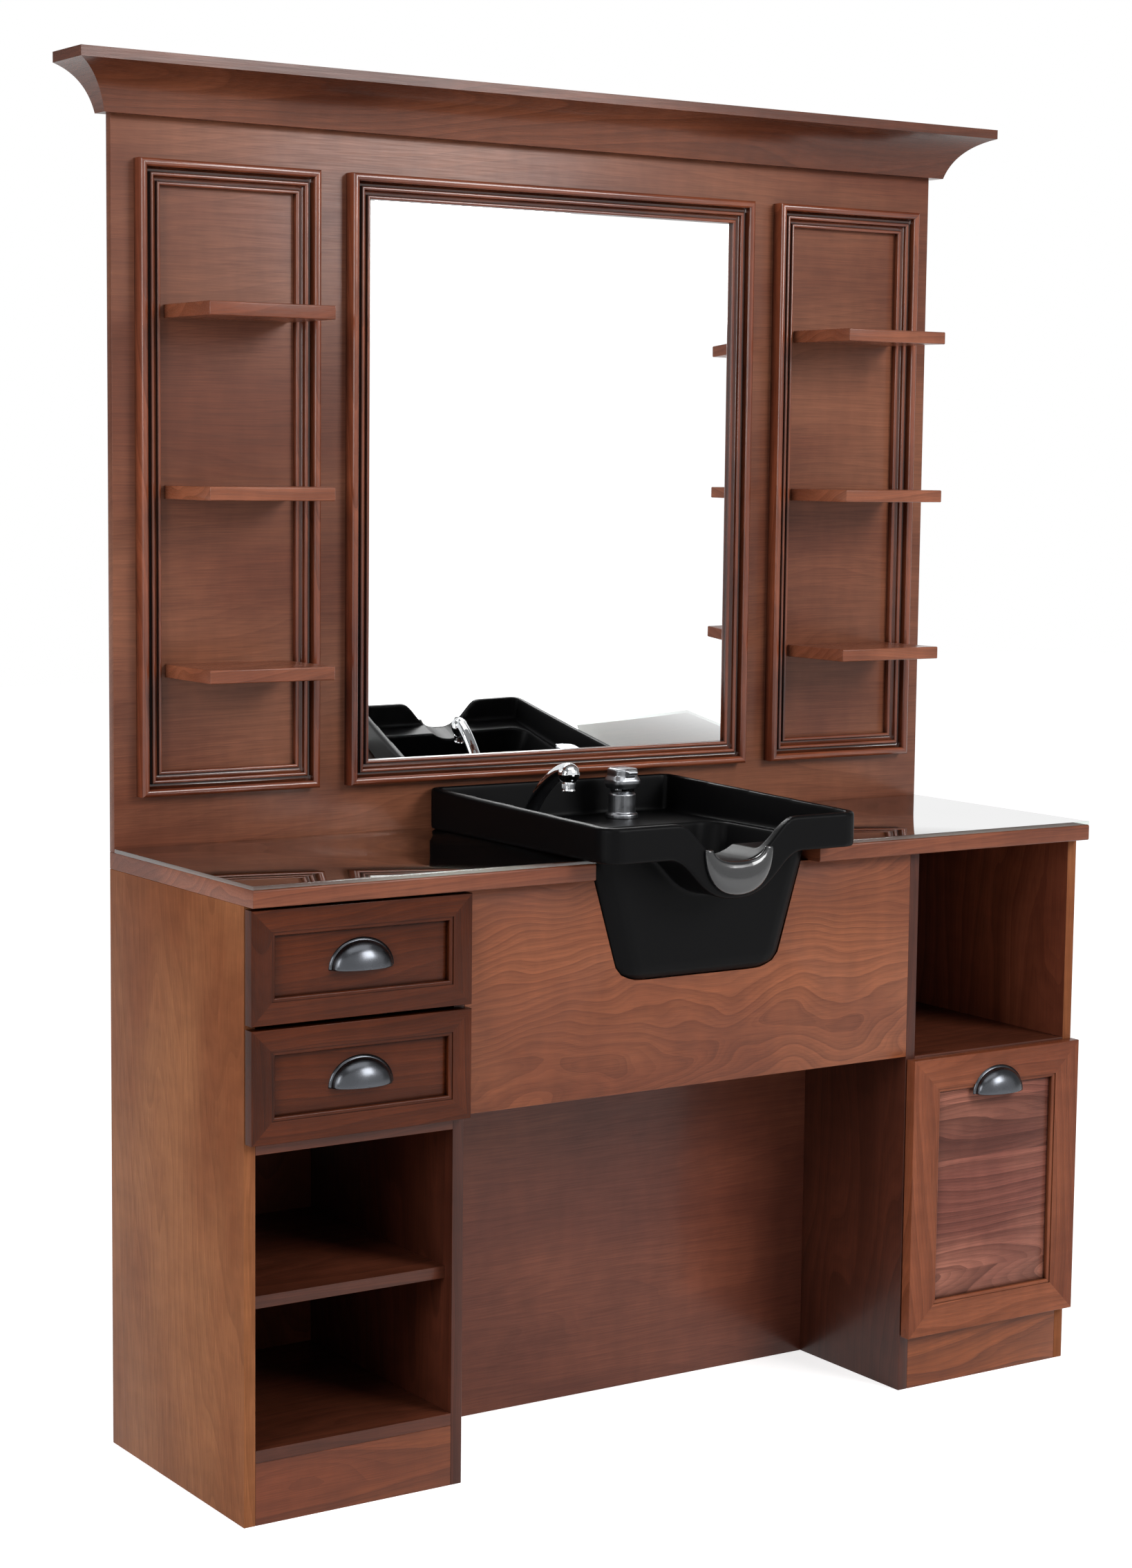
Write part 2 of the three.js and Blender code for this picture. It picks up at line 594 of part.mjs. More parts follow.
const pedestalX = HALF_WIDTH - PEDESTAL_WIDTH / 2;
const frontWidth = PEDESTAL_WIDTH - 2 * FRONT_REVEAL;
const boxHeight = DRAWER_FRONT_HEIGHT - DRAWER_BOX_RISE - DRAWER_BOX_HEADROOM;
const boxHalf = PEDESTAL_WIDTH / 2 - BOARD - DRAWER_SIDE_ROOM;
const boxBack = FRONT_BACK - DRAWER_BOX_DEPTH;
const runnerFront = CARCASS_DEPTH - RUNNER_SETBACK;
DRAWER_ROWS.forEach((word, row) => {
  const name = `${word}_drawer`;
  const x = -pedestalX;
  const bottom = DECK_TOP + row * DRAWER_PITCH;
  const top = bottom + DRAWER_FRONT_HEIGHT;
  addFront(name, DRAWER_RAIL, x, frontWidth, [bottom, top]);
  add(`${name}_pull`, PEWTER, cupPull().translate(
    x, -FRONT_BACK - insetFace, (bottom + top) / 2 - DRAWER_PULL_DROP));

  // The box's sides are grooved to ride on runners fixed to the pedestal.
  const boxBottom = bottom + DRAWER_BOX_RISE;
  const hollow = board(
    [x - boxHalf + DRAWER_WALL, x + boxHalf - DRAWER_WALL],
    [boxBack + DRAWER_WALL, FRONT_BACK - DRAWER_WALL],
    [boxBottom - SEAM, boxBottom + boxHeight + SEAM]);
  const runnerBottom = boxBottom + RUNNER_RISE;
  const grooves = [-1, 1].map((side) => {
    const reach = [x + side * (boxHalf - RUNNER_BITE), x + side * (boxHalf + SEAM)];
    return board(reach.sort((a, b) => a - b), [boxBack - SEAM, runnerFront + RUNNER_STOP],
      [runnerBottom - SEAM, runnerBottom + RUNNER_HEIGHT + SEAM]);
  });
  add(`${name}_box`, DRAWER_BIRCH, cut(
    board([x - boxHalf, x + boxHalf], [boxBack, FRONT_BACK], [boxBottom, boxBottom + boxHeight]),
    hollow, ...grooves));
  const floorBottom = boxBottom + DRAWER_FLOOR_RISE;
  add(`${name}_floor`, DRAWER_BIRCH, board(
    [x - boxHalf + DRAWER_WALL, x + boxHalf - DRAWER_WALL],
    [boxBack + DRAWER_WALL, FRONT_BACK - DRAWER_WALL], [floorBottom, floorBottom + DRAWER_FLOOR]));
  for (const [side, hand] of [[-1, 'left'], [1, 'right']]) {
    const wall = x + side * (PEDESTAL_WIDTH / 2 - BOARD);
    const tip = x + side * (boxHalf - RUNNER_BITE + SEAM);
    add(`${name}_runner_${hand}`, DRAWER_BIRCH, board(
      [wall, tip].sort((a, b) => a - b), [BACK_BOARD, runnerFront],
      [runnerBottom, runnerBottom + RUNNER_HEIGHT]));
  }
});

// Hamper door, tilting on a piano hinge under its bottom edge, with the bin on its back.
const doorBottom = KICK_HEIGHT;
const doorTop = DECK_TOP - DOOR_TOP_REVEAL;
addFront('hamper_door', DOOR_RAIL, pedestalX, frontWidth, [doorBottom, doorTop]);
add('hamper_door_pull', PEWTER, cupPull().translate(
  pedestalX, -FRONT_BACK - FRONT_THICKNESS, doorTop - DOOR_PULL_DROP));

const knuckleRadius = FRONT_GAP - SEAM;
const hingeZ = doorBottom - knuckleRadius - HINGE_CLEARANCE;
function hingeRod(radius, [x0, x1], segments) {
  const rod = new THREE.CylinderGeometry(radius, radius, x1 - x0, segments).rotateZ(Math.PI / 2);
  return rod.translate((x0 + x1) / 2, -FRONT_BACK, hingeZ);
}
function hingeLeaf(leafBack, ownKnuckles) {
  const leafDepth = [leafBack, leafBack + HINGE_LEAF];
  const x0 = pedestalX - HINGE_LENGTH / 2;
  const pitch = HINGE_LENGTH / HINGE_KNUCKLES;
  const leafBottom = doorBottom;
  const pieces = [board([x0, x0 + HINGE_LENGTH], leafDepth, [leafBottom, leafBottom + HINGE_LEAF_HEIGHT])];
  for (const index of ownKnuckles) {
    const span = [x0 + index * pitch + SEAM, x0 + (index + 1) * pitch - SEAM];
    pieces.push(hingeRod(knuckleRadius, span, 16));
    pieces.push(board(span, leafDepth, [hingeZ, leafBottom + HINGE_CLEARANCE]));
  }
  return join(...pieces);
}
const hingeSpan = [pedestalX - HINGE_LENGTH / 2, pedestalX + HINGE_LENGTH / 2];
const knuckles = Array.from({ length: HINGE_KNUCKLES }, (_, index) => index);
add('hamper_hinge_leaf', HINGE_STEEL, join(
  hingeLeaf(CARCASS_DEPTH, knuckles.filter((index) => index % 2 === 0)),
  hingeRod(HINGE_PIN_RADIUS, hingeSpan, 12)));
add('hamper_door_leaf', HINGE_STEEL, cut(
  hingeLeaf(FRONT_BACK - HINGE_LEAF, knuckles.filter((index) => index % 2 === 1)),
  hingeRod(HINGE_PIN_RADIUS + SEAM, [hingeSpan[0] - SEAM, hingeSpan[1] + SEAM], 12)));

// The bin's back is as high as its swing under the deck allows.
function hamperBin() {
  const deckUnderside = DECK_TOP - BOARD;
  const swing = deckUnderside - hingeZ - BIN_SWING_CLEARANCE;
  const backTop = hingeZ + Math.sqrt(swing ** 2 - BIN_DEPTH ** 2);
  const frontTop = deckUnderside - BIN_HEADROOM;
  const floor = KICK_HEIGHT + BOARD + BIN_FLOOR_ROOM;
  const half = PEDESTAL_WIDTH / 2 - BOARD - BIN_SIDE_ROOM;
  const shell = (wall, rise) => {
    const back = FRONT_BACK - BIN_DEPTH + wall;
    const corner = BIN_CORNER - wall;
    const profile = new THREE.Shape();
    profile.moveTo(FRONT_BACK - wall, floor + wall);
    profile.lineTo(FRONT_BACK - wall, frontTop + rise);
    profile.lineTo(back, backTop + rise);
    profile.lineTo(back, floor + wall + corner);
    profile.absarc(back + corner, floor + wall + corner, corner, Math.PI, 1.5 * Math.PI, false);
    return acrossX(profile, [pedestalX - half + wall, pedestalX + half - wall]);
  };
  return cut(shell(0, 0), shell(BIN_WALL, BIN_WALL));
}
add('hamper_bin', DRAWER_BIRCH, hamperBin());

// Shampoo bowl: a deep rim, higher at the back, with a tap deck behind the basin. In
// front the rim dips into a neck rest.
function rimRing(inset, z, backRise = 0) {
  const half = BOWL_WIDTH / 2 - inset;
  const back = Math.max(BOWL_BACK_RADIUS - inset, RIM_ROUND);
  const front = Math.max(BOWL_FRONT_RADIUS - inset, RIM_ROUND);
  const ring = roundedRing([-half, half], [BOWL_BACK + inset, BOWL_FRONT - inset], back, front, z);
  return ring.map((point) => point.setZ(point.z + backRise * (BOWL_FRONT + point.y) / BOWL_LENGTH));
}
function rim() {
  const rings = [rimRing(RIM_ROUND / 2, GLASS_TOP), rimRing(0, GLASS_TOP + RIM_ROUND)];
  for (const degrees of [0, 30, 60, 90]) {
    const angle = THREE.MathUtils.degToRad(degrees);
    const z = GLASS_TOP + RIM_HEIGHT - RIM_ROUND * (1 - Math.sin(angle));
    rings.push(rimRing(RIM_ROUND * (1 - Math.cos(angle)), z, RIM_BACK_RISE));
  }
  return loft(rings, planOf(rings[0]));
}
function tray() {
  const rings = [
    rimRing(RIM_TOP + RIM_DRAFT, TAP_DECK_TOP),
    rimRing(RIM_TOP, GLASS_TOP + RIM_HEIGHT, RIM_BACK_RISE),
    rimRing(RIM_TOP, GLASS_TOP + RIM_HEIGHT + RIM_ROUND, RIM_BACK_RISE),
  ];
  return loft(rings, planOf(rings[0]));
}
function dip(width, shoulder, drop) {
  const outline = new THREE.Shape();
  const half = width / 2;
  const top = shoulder + 2 * RIM_ROUND;
  outline.moveTo(-half, top);
  outline.lineTo(-half, shoulder);
  outline.bezierCurveTo(-NECK_SHOULDER * half, shoulder, -NECK_BELLY * half, -drop, 0, -drop);
  outline.bezierCurveTo(NECK_BELLY * half, -drop, NECK_SHOULDER * half, shoulder, half, shoulder);
  outline.lineTo(half, top);
  return outline;
}
const dipBack = BASIN_FRONT - BOWL_SHELL - RIM_TOP;
const neckLobe = forward(dip(NECK_WIDTH, 0, NECK_DROP), [dipBack, BOWL_FRONT], RIM_ROUND)
  .translate(0, 0, GLASS_TOP);
const neckScoop = forward(
  dip(NECK_SCOOP_WIDTH, RIM_HEIGHT, NECK_SCOOP_DROP), [dipBack, BOWL_FRONT + RIM_ROUND])
  .translate(0, 0, GLASS_TOP);

const drainDepth = (BASIN_BACK + BASIN_BACK_TAPER + BASIN_FRONT - BASIN_FRONT_TAPER) / 2;
const basinFloor = GLASS_TOP - BASIN_DROP + BOWL_SHELL;
const drainHole = turned([
  [0, basinFloor - 2 * BOWL_SHELL], [DRAIN_RADIUS, basinFloor - 2 * BOWL_SHELL],
  [DRAIN_RADIUS, basinFloor + BOWL_SHELL], [0, basinFloor + BOWL_SHELL],
]).translate(0, -drainDepth, 0);
add('bowl', BLACK_PLASTIC, cut(
  join(rim(), basin(0, TAP_DECK_TOP), neckLobe),
  tray(), basin(-BOWL_SHELL, GLASS_TOP + RIM_HEIGHT), neckScoop, drainHole));

// Neck rest pad: a crescent with a full crown, flat against the bowl and thinner at its tips.
function neckPad() {
  const half = PAD_WIDTH / 2;
  const belly = PAD_BELLY * half;
  const flank = PAD_FLANK * half;
  const tip = half - PAD_TIP;
  const lower = new THREE.Path().moveTo(-half, PAD_TIP_RISE);
  lower.bezierCurveTo(-half, -PAD_FLANK * PAD_DROP, -belly, -PAD_DROP, 0, -PAD_DROP);
  lower.bezierCurveTo(belly, -PAD_DROP, half, -PAD_FLANK * PAD_DROP, half, PAD_TIP_RISE);
  const upper = new THREE.Path().moveTo(-tip, PAD_TIP_RISE);
  upper.bezierCurveTo(-flank, 0, -belly, -PAD_TOP_DROP, 0, -PAD_TOP_DROP);
  upper.bezierCurveTo(belly, -PAD_TOP_DROP, flank, 0, tip, PAD_TIP_RISE);
  const section = Array.from({ length: PAD_SECTION_STEPS + 1 }, (_, step) => {
    const angle = Math.PI * step / PAD_SECTION_STEPS;
    const crown = Math.max(Math.sin(angle), 0) ** PAD_FULLNESS;
    return new THREE.Vector2((1 + Math.cos(angle)) / 2, crown);
  });
  const rings = Array.from({ length: PAD_STEPS + 1 }, (_, step) => {
    const share = step / PAD_STEPS;
    const swell = Math.sin(Math.PI * share);
    const thickness = THREE.MathUtils.lerp(PAD_TIP_THICKNESS, PAD_THICKNESS, swell);
    const low = lower.getPoint(share);
    const high = upper.getPoint(share);
    return section.map((point) => {
      const place = low.clone().lerp(high, point.x);
      return new THREE.Vector3(place.x, -BOWL_FRONT - thickness * point.y, GLASS_TOP + place.y);
    });
  });
  return loft(rings, section);
}
add('neck_pad', GREY_GEL, neckPad());

// Drain: a flanged strainer through the basin's floor, a slip nut and a trap that runs
// back to the knee panel.
const drainTail = basinFloor - BOWL_SHELL - DRAIN_TAIL;
const strainerRadius = DRAIN_RADIUS - SEAM;
add('drain_strainer', CHROME, skin(solid(turned([
  [strainerRadius - DRAIN_WALL, drainTail], [strainerRadius, drainTail],
  [strainerRadius, basinFloor], [DRAIN_FLANGE_RADIUS, basinFloor],
  [DRAIN_FLANGE_RADIUS, basinFloor + DRAIN_FLANGE / 2],
  [DRAIN_FLANGE_RADIUS - DRAIN_FLANGE, basinFloor + DRAIN_FLANGE],
  [strainerRadius - DRAIN_WALL, basinFloor + DRAIN_FLANGE], [strainerRadius - DRAIN_WALL, drainTail],
]).translate(0, -drainDepth, 0))));

class TrapBend extends THREE.Curve {
  constructor(centreDepth, centreZ, from, to) {
    super();
    Object.assign(this, { centreDepth, centreZ, from, to });
  }

  getPoint(t, target = new THREE.Vector3()) {
    const angle = THREE.MathUtils.lerp(this.from, this.to, t);
    return target.set(
      0, -this.centreDepth - TRAP_BEND * Math.cos(angle), this.centreZ + TRAP_BEND * Math.sin(angle));
  }
}
function trap() {
  const top = drainTail - SEAM;
  const bendZ = top - TRAP_DROP;
  const riserDepth = drainDepth - 2 * TRAP_BEND;
  const elbowZ = bendZ + TRAP_RISE;
  const at = (depth, z) => new THREE.Vector3(0, -depth, z);
  const flangeFront = kneePanelFront + WALL_FLANGE;
  const path = new THREE.CurvePath();
  path.add(new THREE.LineCurve3(at(drainDepth, top), at(drainDepth, bendZ)));
  path.add(new TrapBend(drainDepth - TRAP_BEND, bendZ, 0, -Math.PI));
  path.add(new THREE.LineCurve3(at(riserDepth, bendZ), at(riserDepth, elbowZ)));
  path.add(new TrapBend(riserDepth - TRAP_BEND, elbowZ, 0, Math.PI / 2));
  path.add(new THREE.LineCurve3(
    at(riserDepth - TRAP_BEND, elbowZ + TRAP_BEND), at(flangeFront - SEAM, elbowZ + TRAP_BEND)));
  const section = new THREE.Shape().absarc(0, 0, TRAP_RADIUS, 0, 2 * Math.PI, false);
  const pipe = new THREE.ExtrudeGeometry(section, {
    steps: 30, curveSegments: 7, extrudePath: path,
  });
  const cylinder = (radius, [z0, z1], segments) => turned(
    [[0, z0], [radius, z0], [radius, z1], [0, z1]], segments).translate(0, -drainDepth, 0);
  const nut = cut(
    cylinder(SLIP_NUT_RADIUS, [top - SLIP_NUT_HEIGHT / 2, top + SLIP_NUT_HEIGHT / 2], SLIP_NUT_SIDES),
    cylinder(strainerRadius + SEAM, [top, top + SLIP_NUT_HEIGHT]));
  const flange = turned([
    [0, 0], [WALL_FLANGE_RADIUS, 0], [WALL_FLANGE_RADIUS, WALL_FLANGE / 2],
    [TRAP_RADIUS + WALL_FLANGE, WALL_FLANGE], [0, WALL_FLANGE],
  ]).rotateX(Math.PI / 2).translate(0, -kneePanelFront, elbowZ + TRAP_BEND);
  return join(pipe, nut, flange);
}
add('drain_trap', CHROME, trap());

// Spout on the left of the tap deck, and the mixer on its right.
const spoutX = -TAP_SPREAD / 2;
const mixerX = TAP_SPREAD / 2;
const onDeck = (geometry, x) => geometry.translate(x, -TAP_DEPTH, TAP_DECK_TOP);
function spout() {
  const flange = turned([
    [0, 0], [SPOUT_FLANGE_RADIUS, 0], [SPOUT_FLANGE_RADIUS, SPOUT_FLANGE / 2],
    [SPOUT_RADIUS + SPOUT_FLANGE, SPOUT_FLANGE], [SPOUT_RADIUS + SPOUT_FLANGE / 2, 2 * SPOUT_FLANGE],
    [0, 2 * SPOUT_FLANGE],
  ]);
  const arm = new THREE.CubicBezierCurve3(
    new THREE.Vector3(0, 0, SPOUT_FLANGE), new THREE.Vector3(0, 0, SPOUT_RISE_HANDLE),
    new THREE.Vector3(0, -SPOUT_RUN_HANDLE, SPOUT_HEIGHT),
    new THREE.Vector3(0, -SPOUT_REACH, SPOUT_HEIGHT));
  const section = new THREE.Shape().absarc(0, 0, SPOUT_RADIUS, 0, 2 * Math.PI, false);
  const tube = new THREE.ExtrudeGeometry(section, { steps: 14, curveSegments: 9, extrudePath: arm });
  const dome = new THREE.SphereGeometry(SPOUT_DOME_RADIUS, 20, 14)
    .rotateX(Math.PI / 2).translate(0, -SPOUT_REACH, SPOUT_HEIGHT - SPOUT_RADIUS / 2);
  return onDeck(join(flange, tube, dome), spoutX);
}
const aeratorTop = SPOUT_HEIGHT - SPOUT_DOME_RADIUS;
const aerator = turned([
  [0, 0], [AERATOR_RADIUS - AERATOR_EASE, 0], [AERATOR_RADIUS, AERATOR_EASE],
  [AERATOR_RADIUS, AERATOR_LENGTH], [0, AERATOR_LENGTH],
]).translate(0, -SPOUT_REACH, aeratorTop - AERATOR_LENGTH);
const aeratorSocket = turned([
  [0, -AERATOR_LENGTH], [AERATOR_RADIUS + SEAM, -AERATOR_LENGTH], [AERATOR_RADIUS + SEAM, SEAM], [0, SEAM],
]).translate(spoutX, -TAP_DEPTH - SPOUT_REACH, TAP_DECK_TOP + aeratorTop);
add('spout', CHROME, cut(spout(), aeratorSocket));
add('aerator', CHROME, onDeck(skin(solid(aerator)), spoutX));

// The mixer's ball sits on the body, and the handle turns and lifts round it.
add('mixer_body', SATIN_GREY, onDeck(skin(solid(turned([
  [0, 0], [MIXER_FLANGE_RADIUS, 0], [MIXER_FLANGE_RADIUS, MIXER_FLANGE - MIXER_EASE],
  [MIXER_FLANGE_RADIUS - MIXER_EASE, MIXER_FLANGE], [MIXER_RADIUS, MIXER_FLANGE],
  [MIXER_RADIUS, MIXER_HEIGHT - MIXER_EASE], [MIXER_RADIUS - MIXER_EASE, MIXER_HEIGHT], [0, MIXER_HEIGHT],
]))), mixerX));

const ballZ = MIXER_HEIGHT + MIXER_BALL_RISE;
const ball = (radius) => new THREE.SphereGeometry(radius, 20, 14).rotateX(Math.PI / 2).translate(0, 0, ballZ);
const aboveBody = board(
  [-HANDLE_WIDTH, HANDLE_WIDTH], [-HANDLE_WIDTH, HANDLE_WIDTH],
  [MIXER_HEIGHT + SEAM, ballZ + 2 * MIXER_BALL_RADIUS]);
add('mixer_ball', CHROME, onDeck(overlap(ball(MIXER_BALL_RADIUS), aboveBody), mixerX));

function mixerHandle() {
  const top = ballZ + HANDLE_HEIGHT;
  const flareBottom = ballZ + HANDLE_SKIRT;
  const flareTop = flareBottom + HANDLE_FLARE;
  const half = HANDLE_WIDTH / 2;
  const level = (inset, z) => roundedRing(
    [inset - half, half - inset], [inset - half, half - inset], HANDLE_CORNER, HANDLE_CORNER, z);
  const rings = [
    level(HANDLE_SKIRT_DRAW, ballZ), level(0, flareBottom), level(0, flareTop),
    level(HANDLE_NECK_DRAW, flareTop + HANDLE_NECK), level(HANDLE_NECK_DRAW, top - MIXER_EASE),
    level(HANDLE_NECK_DRAW + MIXER_EASE, top),
  ];
  const cap = loft(rings, planOf(rings[0]));
  const lever = new THREE.Shape();
  lever.moveTo(half - LEVER_REACH, top - 2 * LEVER_THICKNESS);
  lever.lineTo(half + LEVER_REACH, top - LEVER_THICKNESS);
  lever.lineTo(half + LEVER_REACH, top - LEVER_THICKNESS / 2);
  lever.lineTo(half - LEVER_REACH, top - MIXER_EASE);
  const blade = acrossX(lever, [-LEVER_WIDTH / 2, LEVER_WIDTH / 2]);
  return cut(join(cap, blade), ball(MIXER_BALL_RADIUS + MIXER_BALL_CLEARANCE));
}
add('mixer_handle', SATIN_GREY, onDeck(mixerHandle(), mixerX));

export default station;
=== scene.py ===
import json
import math
import bmesh
import bpy
from mathutils import Matrix, Vector

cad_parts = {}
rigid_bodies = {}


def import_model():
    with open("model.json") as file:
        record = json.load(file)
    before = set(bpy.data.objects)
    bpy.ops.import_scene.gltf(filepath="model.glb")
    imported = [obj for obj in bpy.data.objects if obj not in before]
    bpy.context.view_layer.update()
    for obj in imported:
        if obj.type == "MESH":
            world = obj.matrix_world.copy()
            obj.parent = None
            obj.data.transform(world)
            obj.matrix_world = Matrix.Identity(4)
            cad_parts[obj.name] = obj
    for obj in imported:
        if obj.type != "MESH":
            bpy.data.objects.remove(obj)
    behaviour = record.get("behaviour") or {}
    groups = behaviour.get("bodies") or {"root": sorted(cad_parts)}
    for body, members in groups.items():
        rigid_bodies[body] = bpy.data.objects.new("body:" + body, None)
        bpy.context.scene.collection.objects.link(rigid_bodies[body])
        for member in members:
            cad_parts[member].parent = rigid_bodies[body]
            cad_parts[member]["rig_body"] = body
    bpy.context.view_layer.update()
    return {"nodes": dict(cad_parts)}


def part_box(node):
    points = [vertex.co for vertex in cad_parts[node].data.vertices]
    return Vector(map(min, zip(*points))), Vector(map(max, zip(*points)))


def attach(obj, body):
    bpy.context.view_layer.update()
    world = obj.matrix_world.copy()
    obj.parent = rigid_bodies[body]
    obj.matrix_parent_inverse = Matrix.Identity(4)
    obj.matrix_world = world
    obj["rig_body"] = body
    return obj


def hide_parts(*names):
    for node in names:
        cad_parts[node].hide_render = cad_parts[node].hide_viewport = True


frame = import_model()

# Camera, at the place that the photograph was taken from: to the left of the station,
# a little above the counter, looking slightly down.
CAMERA_PLACE = (-2.58975, -3.69817, 1.47319)
CAMERA_TURN = math.radians(-33.57)
CAMERA_DIP = math.radians(6.224)
CAMERA_ROLL = math.radians(0.639)
CAMERA_LENS = 67.98

camera = bpy.data.objects.new("camera", bpy.data.cameras.new("camera"))
bpy.context.scene.collection.objects.link(camera)
camera.data.lens = CAMERA_LENS
camera.matrix_world = (
    Matrix.Translation(CAMERA_PLACE)
    @ Matrix.Rotation(CAMERA_TURN, 4, "Z")
    @ Matrix.Rotation(math.pi / 2 - CAMERA_DIP, 4, "X")
    @ Matrix.Rotation(CAMERA_ROLL, 4, "Z"))
bpy.context.scene.camera = camera
bpy.context.scene.view_settings.view_transform = "Standard"

# Pedestals: boards veneered with cherry, with eased edges, glued and screwed together. The
# outer sides and the kick boards are stained a warm brown. The boards of the bays, the inner
# faces of the outer sides and the inner sides take darker copies of the cherry as painted
# shade, the bays darker and the inner sides darkest.
MM = 0.001
SIDE_TONES = ("#94603f", "#7e4a2e", "#4e2a18")
KICK_TONES = ("#854828", "#6c361f", "#411e10")
# Darker copies of the cherry for faces inside the bays and the knee space: painted shade.
INSIDE_SHADE_TONES = ("#884932", "#693523", "#411d13")
BAY_SHADE_TONES = ("#633322", "#4b2517", "#2d140c")
SHADED_TONES = ("#4e2619", "#3c1b11", "#240f08")
BOARD_EASE = 0.9 * MM
EASE_SEGMENTS = 3
CORNER_TURN = math.radians(50)
FLAT_TURN = math.radians(1)
WELD = 1e-6
INNER_FACING = 0.9
RING_SPACING = 17 * MM
FINE_SPACING = 4.6 * MM
RING_TILT = math.radians(4)
RING_SPREAD = 0.6
RING_WAVER = 0.6
RING_SPAN = (0.2, 1)
FINE_SPAN = (0.4, 1)
HEART_DEPTH = 45 * MM
BEND_SIZE = 130 * MM
BEND_REACH = 130 * MM
BEND_RUN = 5
CURL_WIDTH = 60 * MM
CURL_RUN = 0.45
CURL_SPAN = (0.3, 0.7)
CURL_SHADES = (0.92, 1.07)
BLOTCH_SIZE = 210 * MM
BLOTCH_RUN = 2.5
BLOTCH_SPAN = (0.4, 0.6)
STAVE_SPREAD = 0.35
STAVE_SHADES = (0.7, 1.2)
# Corners and recesses darken within this reach, partly as wiped stain and partly as painted shade.
GLAZE_AND_SHADE_REACH = 16 * MM
GLAZE_AND_SHADE_SPAN = (0.35, 0.95)
COAT_SHARE = 1 / 3
COAT_ROUGHNESS = 0.12
# Cherry's fibres are finer: they are drawn as coarse as the render needs to show them.
FIBRE_WIDTH = 1.5 * MM
FIBRE_RUN = 45
FIBRE_SPAN = (0.3, 0.65)
FIBRE_SHADES = (0.8, 1.06)
PORE_SPAN = (0.3, 0.62)
PORE_GLOSS = (0.08, -0.04)
PORE_DEPTH = 0.3 * MM
PORE_STRENGTH = 0.1
# The length that a wave texture of scale 1 repeats at.
WAVE_PERIOD = math.pi / 10


def linear(hex_colour):
    """The linear colour of an sRGB hex value."""
    channels = [int(hex_colour[i:i + 2], 16) / 255 for i in (1, 3, 5)]
    return [c / 12.92 if c <= 0.04045 else ((c + 0.055) / 1.055) ** 2.4 for c in channels] + [1]


def put(tree, kind, inputs=(), **settings):
    """Adds a node, sets its properties, and sets or links its inputs."""
    made = tree.nodes.new(kind)
    for key, value in settings.items():
        setattr(made, key, value)
    for key, value in dict(inputs).items():
        if isinstance(value, bpy.types.NodeSocket):
            tree.links.new(value, made.inputs[key])
        else:
            made.inputs[key].default_value = value
    return made


def blank_material(name):
    """A material with an empty tree and its output node."""
    material = bpy.data.materials.new(name)
    material.use_nodes = True
    material.node_tree.nodes.clear()
    return material, material.node_tree, put(material.node_tree, "ShaderNodeOutputMaterial")


